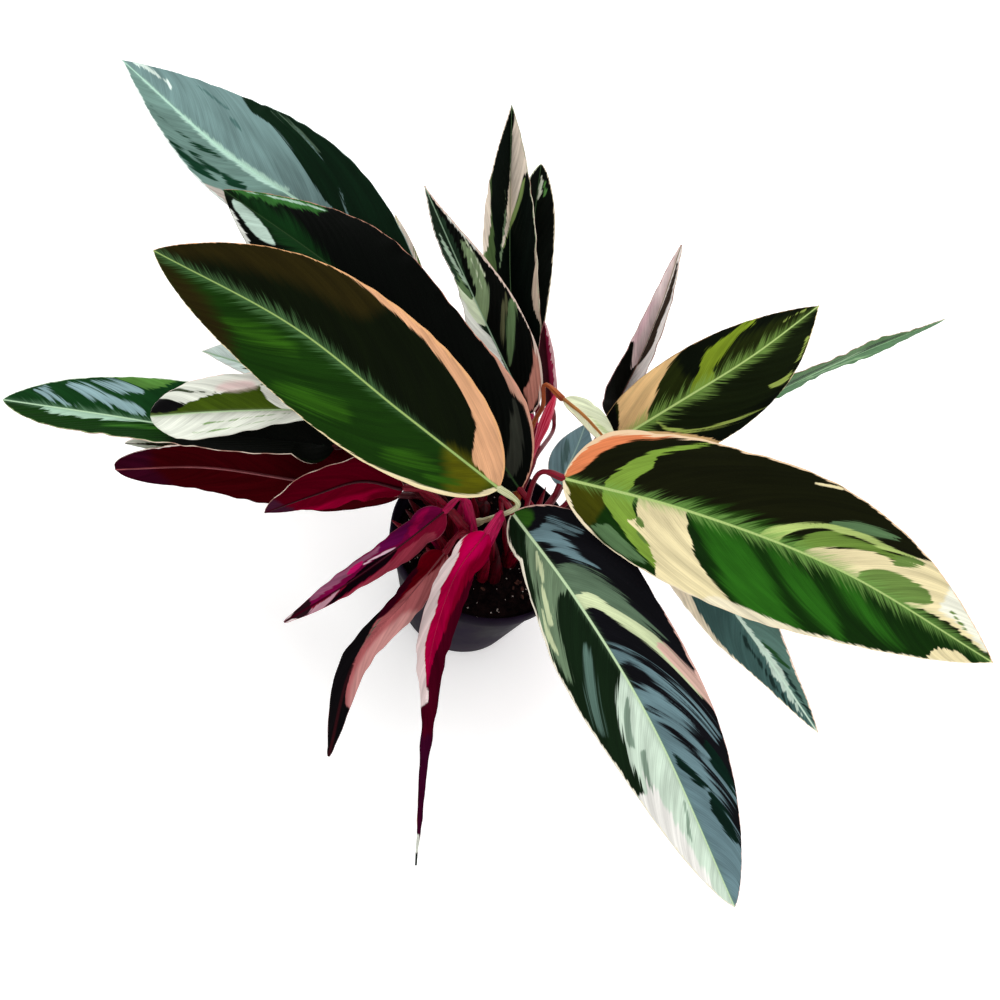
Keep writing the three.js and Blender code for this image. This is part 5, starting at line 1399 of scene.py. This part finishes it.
def makeSoil():
    wallRows = soil["wallRows"]
    piece, x, v = freshGrid("potting_mix", soil["columns"], soil["rows"])
    angle = (x + 1) * math.pi
    row = np.rint(v * soil["rows"]).astype(int)
    points = np.zeros((len(x), 3))
    for i in range(len(x)):
        if row[i] <= wallRows:
            share = max(0, row[i] - 1) / (wallRows - 1)
            radius = soil["footRadius"] + (soil["radius"] - soil["footRadius"]) * share
            if row[i] == 0:
                radius = 0.0001
            z = soil["bottom"] + (soil["edgeTop"] - soil["bottom"]) * share
            points[i] = (radius * math.cos(angle[i]), radius * math.sin(angle[i]), z)
        else:
            share = 1 - (row[i] - wallRows) / (soil["rows"] - wallRows)
            radius = max(soil["radius"] * share, 0.0001)
            px, py = radius * math.cos(angle[i]), radius * math.sin(angle[i])
            top = soilHeight(px, py) if share > 0.001 else soilHeight(0, 0)
            points[i] = (px, py, top + (soil["edgeTop"] - top) * max(0, share - 0.96) / 0.04 * 0.7)
    movePoints(piece, points)
    paintUv(piece, x, v)
    weld(piece, 0.00001)
    piece.data.materials.append(makeSoilMaterial())
    smooth(piece)
    settle(piece, "potting_soil", "soil")

    random.seed(soil["seed"])
    grains = []
    bpy.ops.object.select_all(action="DESELECT")
    bpy.ops.mesh.primitive_ico_sphere_add(subdivisions=2, radius=mm)
    roundGrain = bpy.context.object
    bpy.ops.mesh.primitive_ico_sphere_add(subdivisions=1, radius=mm)
    flatGrain = bpy.context.object
    for k in range(soil["grains"] + soil["chips"]):
        isChip = k >= soil["grains"]
        radius = random.uniform(0.3, 0.65) * (1.6 if random.random() < 0.14 else 1)
        reach = soil["grainReach"] * math.sqrt(random.random())
        turn = random.uniform(0, 2 * math.pi)
        px, py = reach * math.cos(turn), reach * math.sin(turn)
        size = (radius, radius * random.uniform(0.7, 1), radius * random.uniform(0.6, 0.9))
        if isChip:
            size = (random.uniform(1.2, 2.6), random.uniform(0.6, 1.2), random.uniform(0.35, 0.7))
        mesh = (flatGrain if isChip else roundGrain).data.copy()
        for vertex in mesh.vertices:
            vertex.co *= 1 + random.uniform(-0.16, 0.16)
        mesh.transform(Matrix.Translation((px * mm, py * mm, (soilHeight(px, py) + size[2] * 0.4) * mm))
                       @ Matrix.Rotation(random.uniform(0, 6.28), 4, "Z")
                       @ Matrix.Rotation(random.uniform(-0.5, 0.5), 4, "X")
                       @ Matrix.Diagonal((*size, 1)))
        mesh.materials.append(chipMaterial if isChip else gritMaterial)
        grain = bpy.data.objects.new("grain", mesh)
        scene.collection.objects.link(grain)
        grains.append(grain)
    bpy.data.objects.remove(roundGrain)
    bpy.data.objects.remove(flatGrain)
    piece = joinPieces(grains, "soil_grit")
    settle(piece, "potting_soil", "soil")


gritMaterial = makeGritMaterial("perlite", (150, 140, 132), (206, 198, 188))
chipMaterial = makeGritMaterial("bark_chip", (44, 24, 20), (84, 50, 40))
makeSoil()
print("soil made")


# room

room = {"floorSize": 12, "floorTints": ((253, 253, 252), (251, 251, 250)), "floorGlow": 0.28,
        "zenith": 1.02, "horizon": 1.1,
        "key": {"place": (-0.55, 0.75, 1.35), "size": 0.9, "power": 6},
        "fill": {"place": (0.75, -0.75, 1.25), "size": 1.1, "power": 3}}


def makeRoom():
    bpy.ops.object.select_all(action="DESELECT")
    bpy.ops.mesh.primitive_plane_add(size=room["floorSize"])
    floor = bpy.context.object
    floor.name = "floor"
    material, tree, shader = newMaterial("floor_white", 0.9, 0.0)
    spot = node(tree, "TexCoord").outputs["Object"]
    tint = mixed(tree, fade(tree, noiseAt(tree, spot, 3, 2), 0.3, 0.7),
                 linear(room["floorTints"][0]), linear(room["floorTints"][1]))
    tree.links.new(tint, shader.inputs["Base Color"])
    shader.inputs["Emission Color"].default_value = (1, 1, 1, 1)
    shader.inputs["Emission Strength"].default_value = room["floorGlow"]
    floor.data.materials.append(material)

    for name in ("key", "fill"):
        values = room[name]
        lamp = bpy.data.lights.new(name, "AREA")
        lamp.size = values["size"]
        lamp.energy = values["power"]
        light = bpy.data.objects.new(name, lamp)
        light.location = values["place"]
        light.rotation_euler = (-Vector(values["place"])).to_track_quat("-Z", "Y").to_euler()
        scene.collection.objects.link(light)

    world = bpy.data.worlds.new("studio")
    world.use_nodes = True
    scene.world = world
    tree = world.node_tree
    spot = node(tree, "TexCoord").outputs["Generated"]
    up = node(tree, "SeparateXYZ", {0: spot}).outputs[2]
    strength = fade(tree, up, 0.0, 0.7, room["horizon"], room["zenith"])
    tree.links.new(strength, tree.nodes["Background"].inputs["Strength"])
    tree.nodes["Background"].inputs["Color"].default_value = (1, 1, 1, 1)


makeRoom()
print("room made")
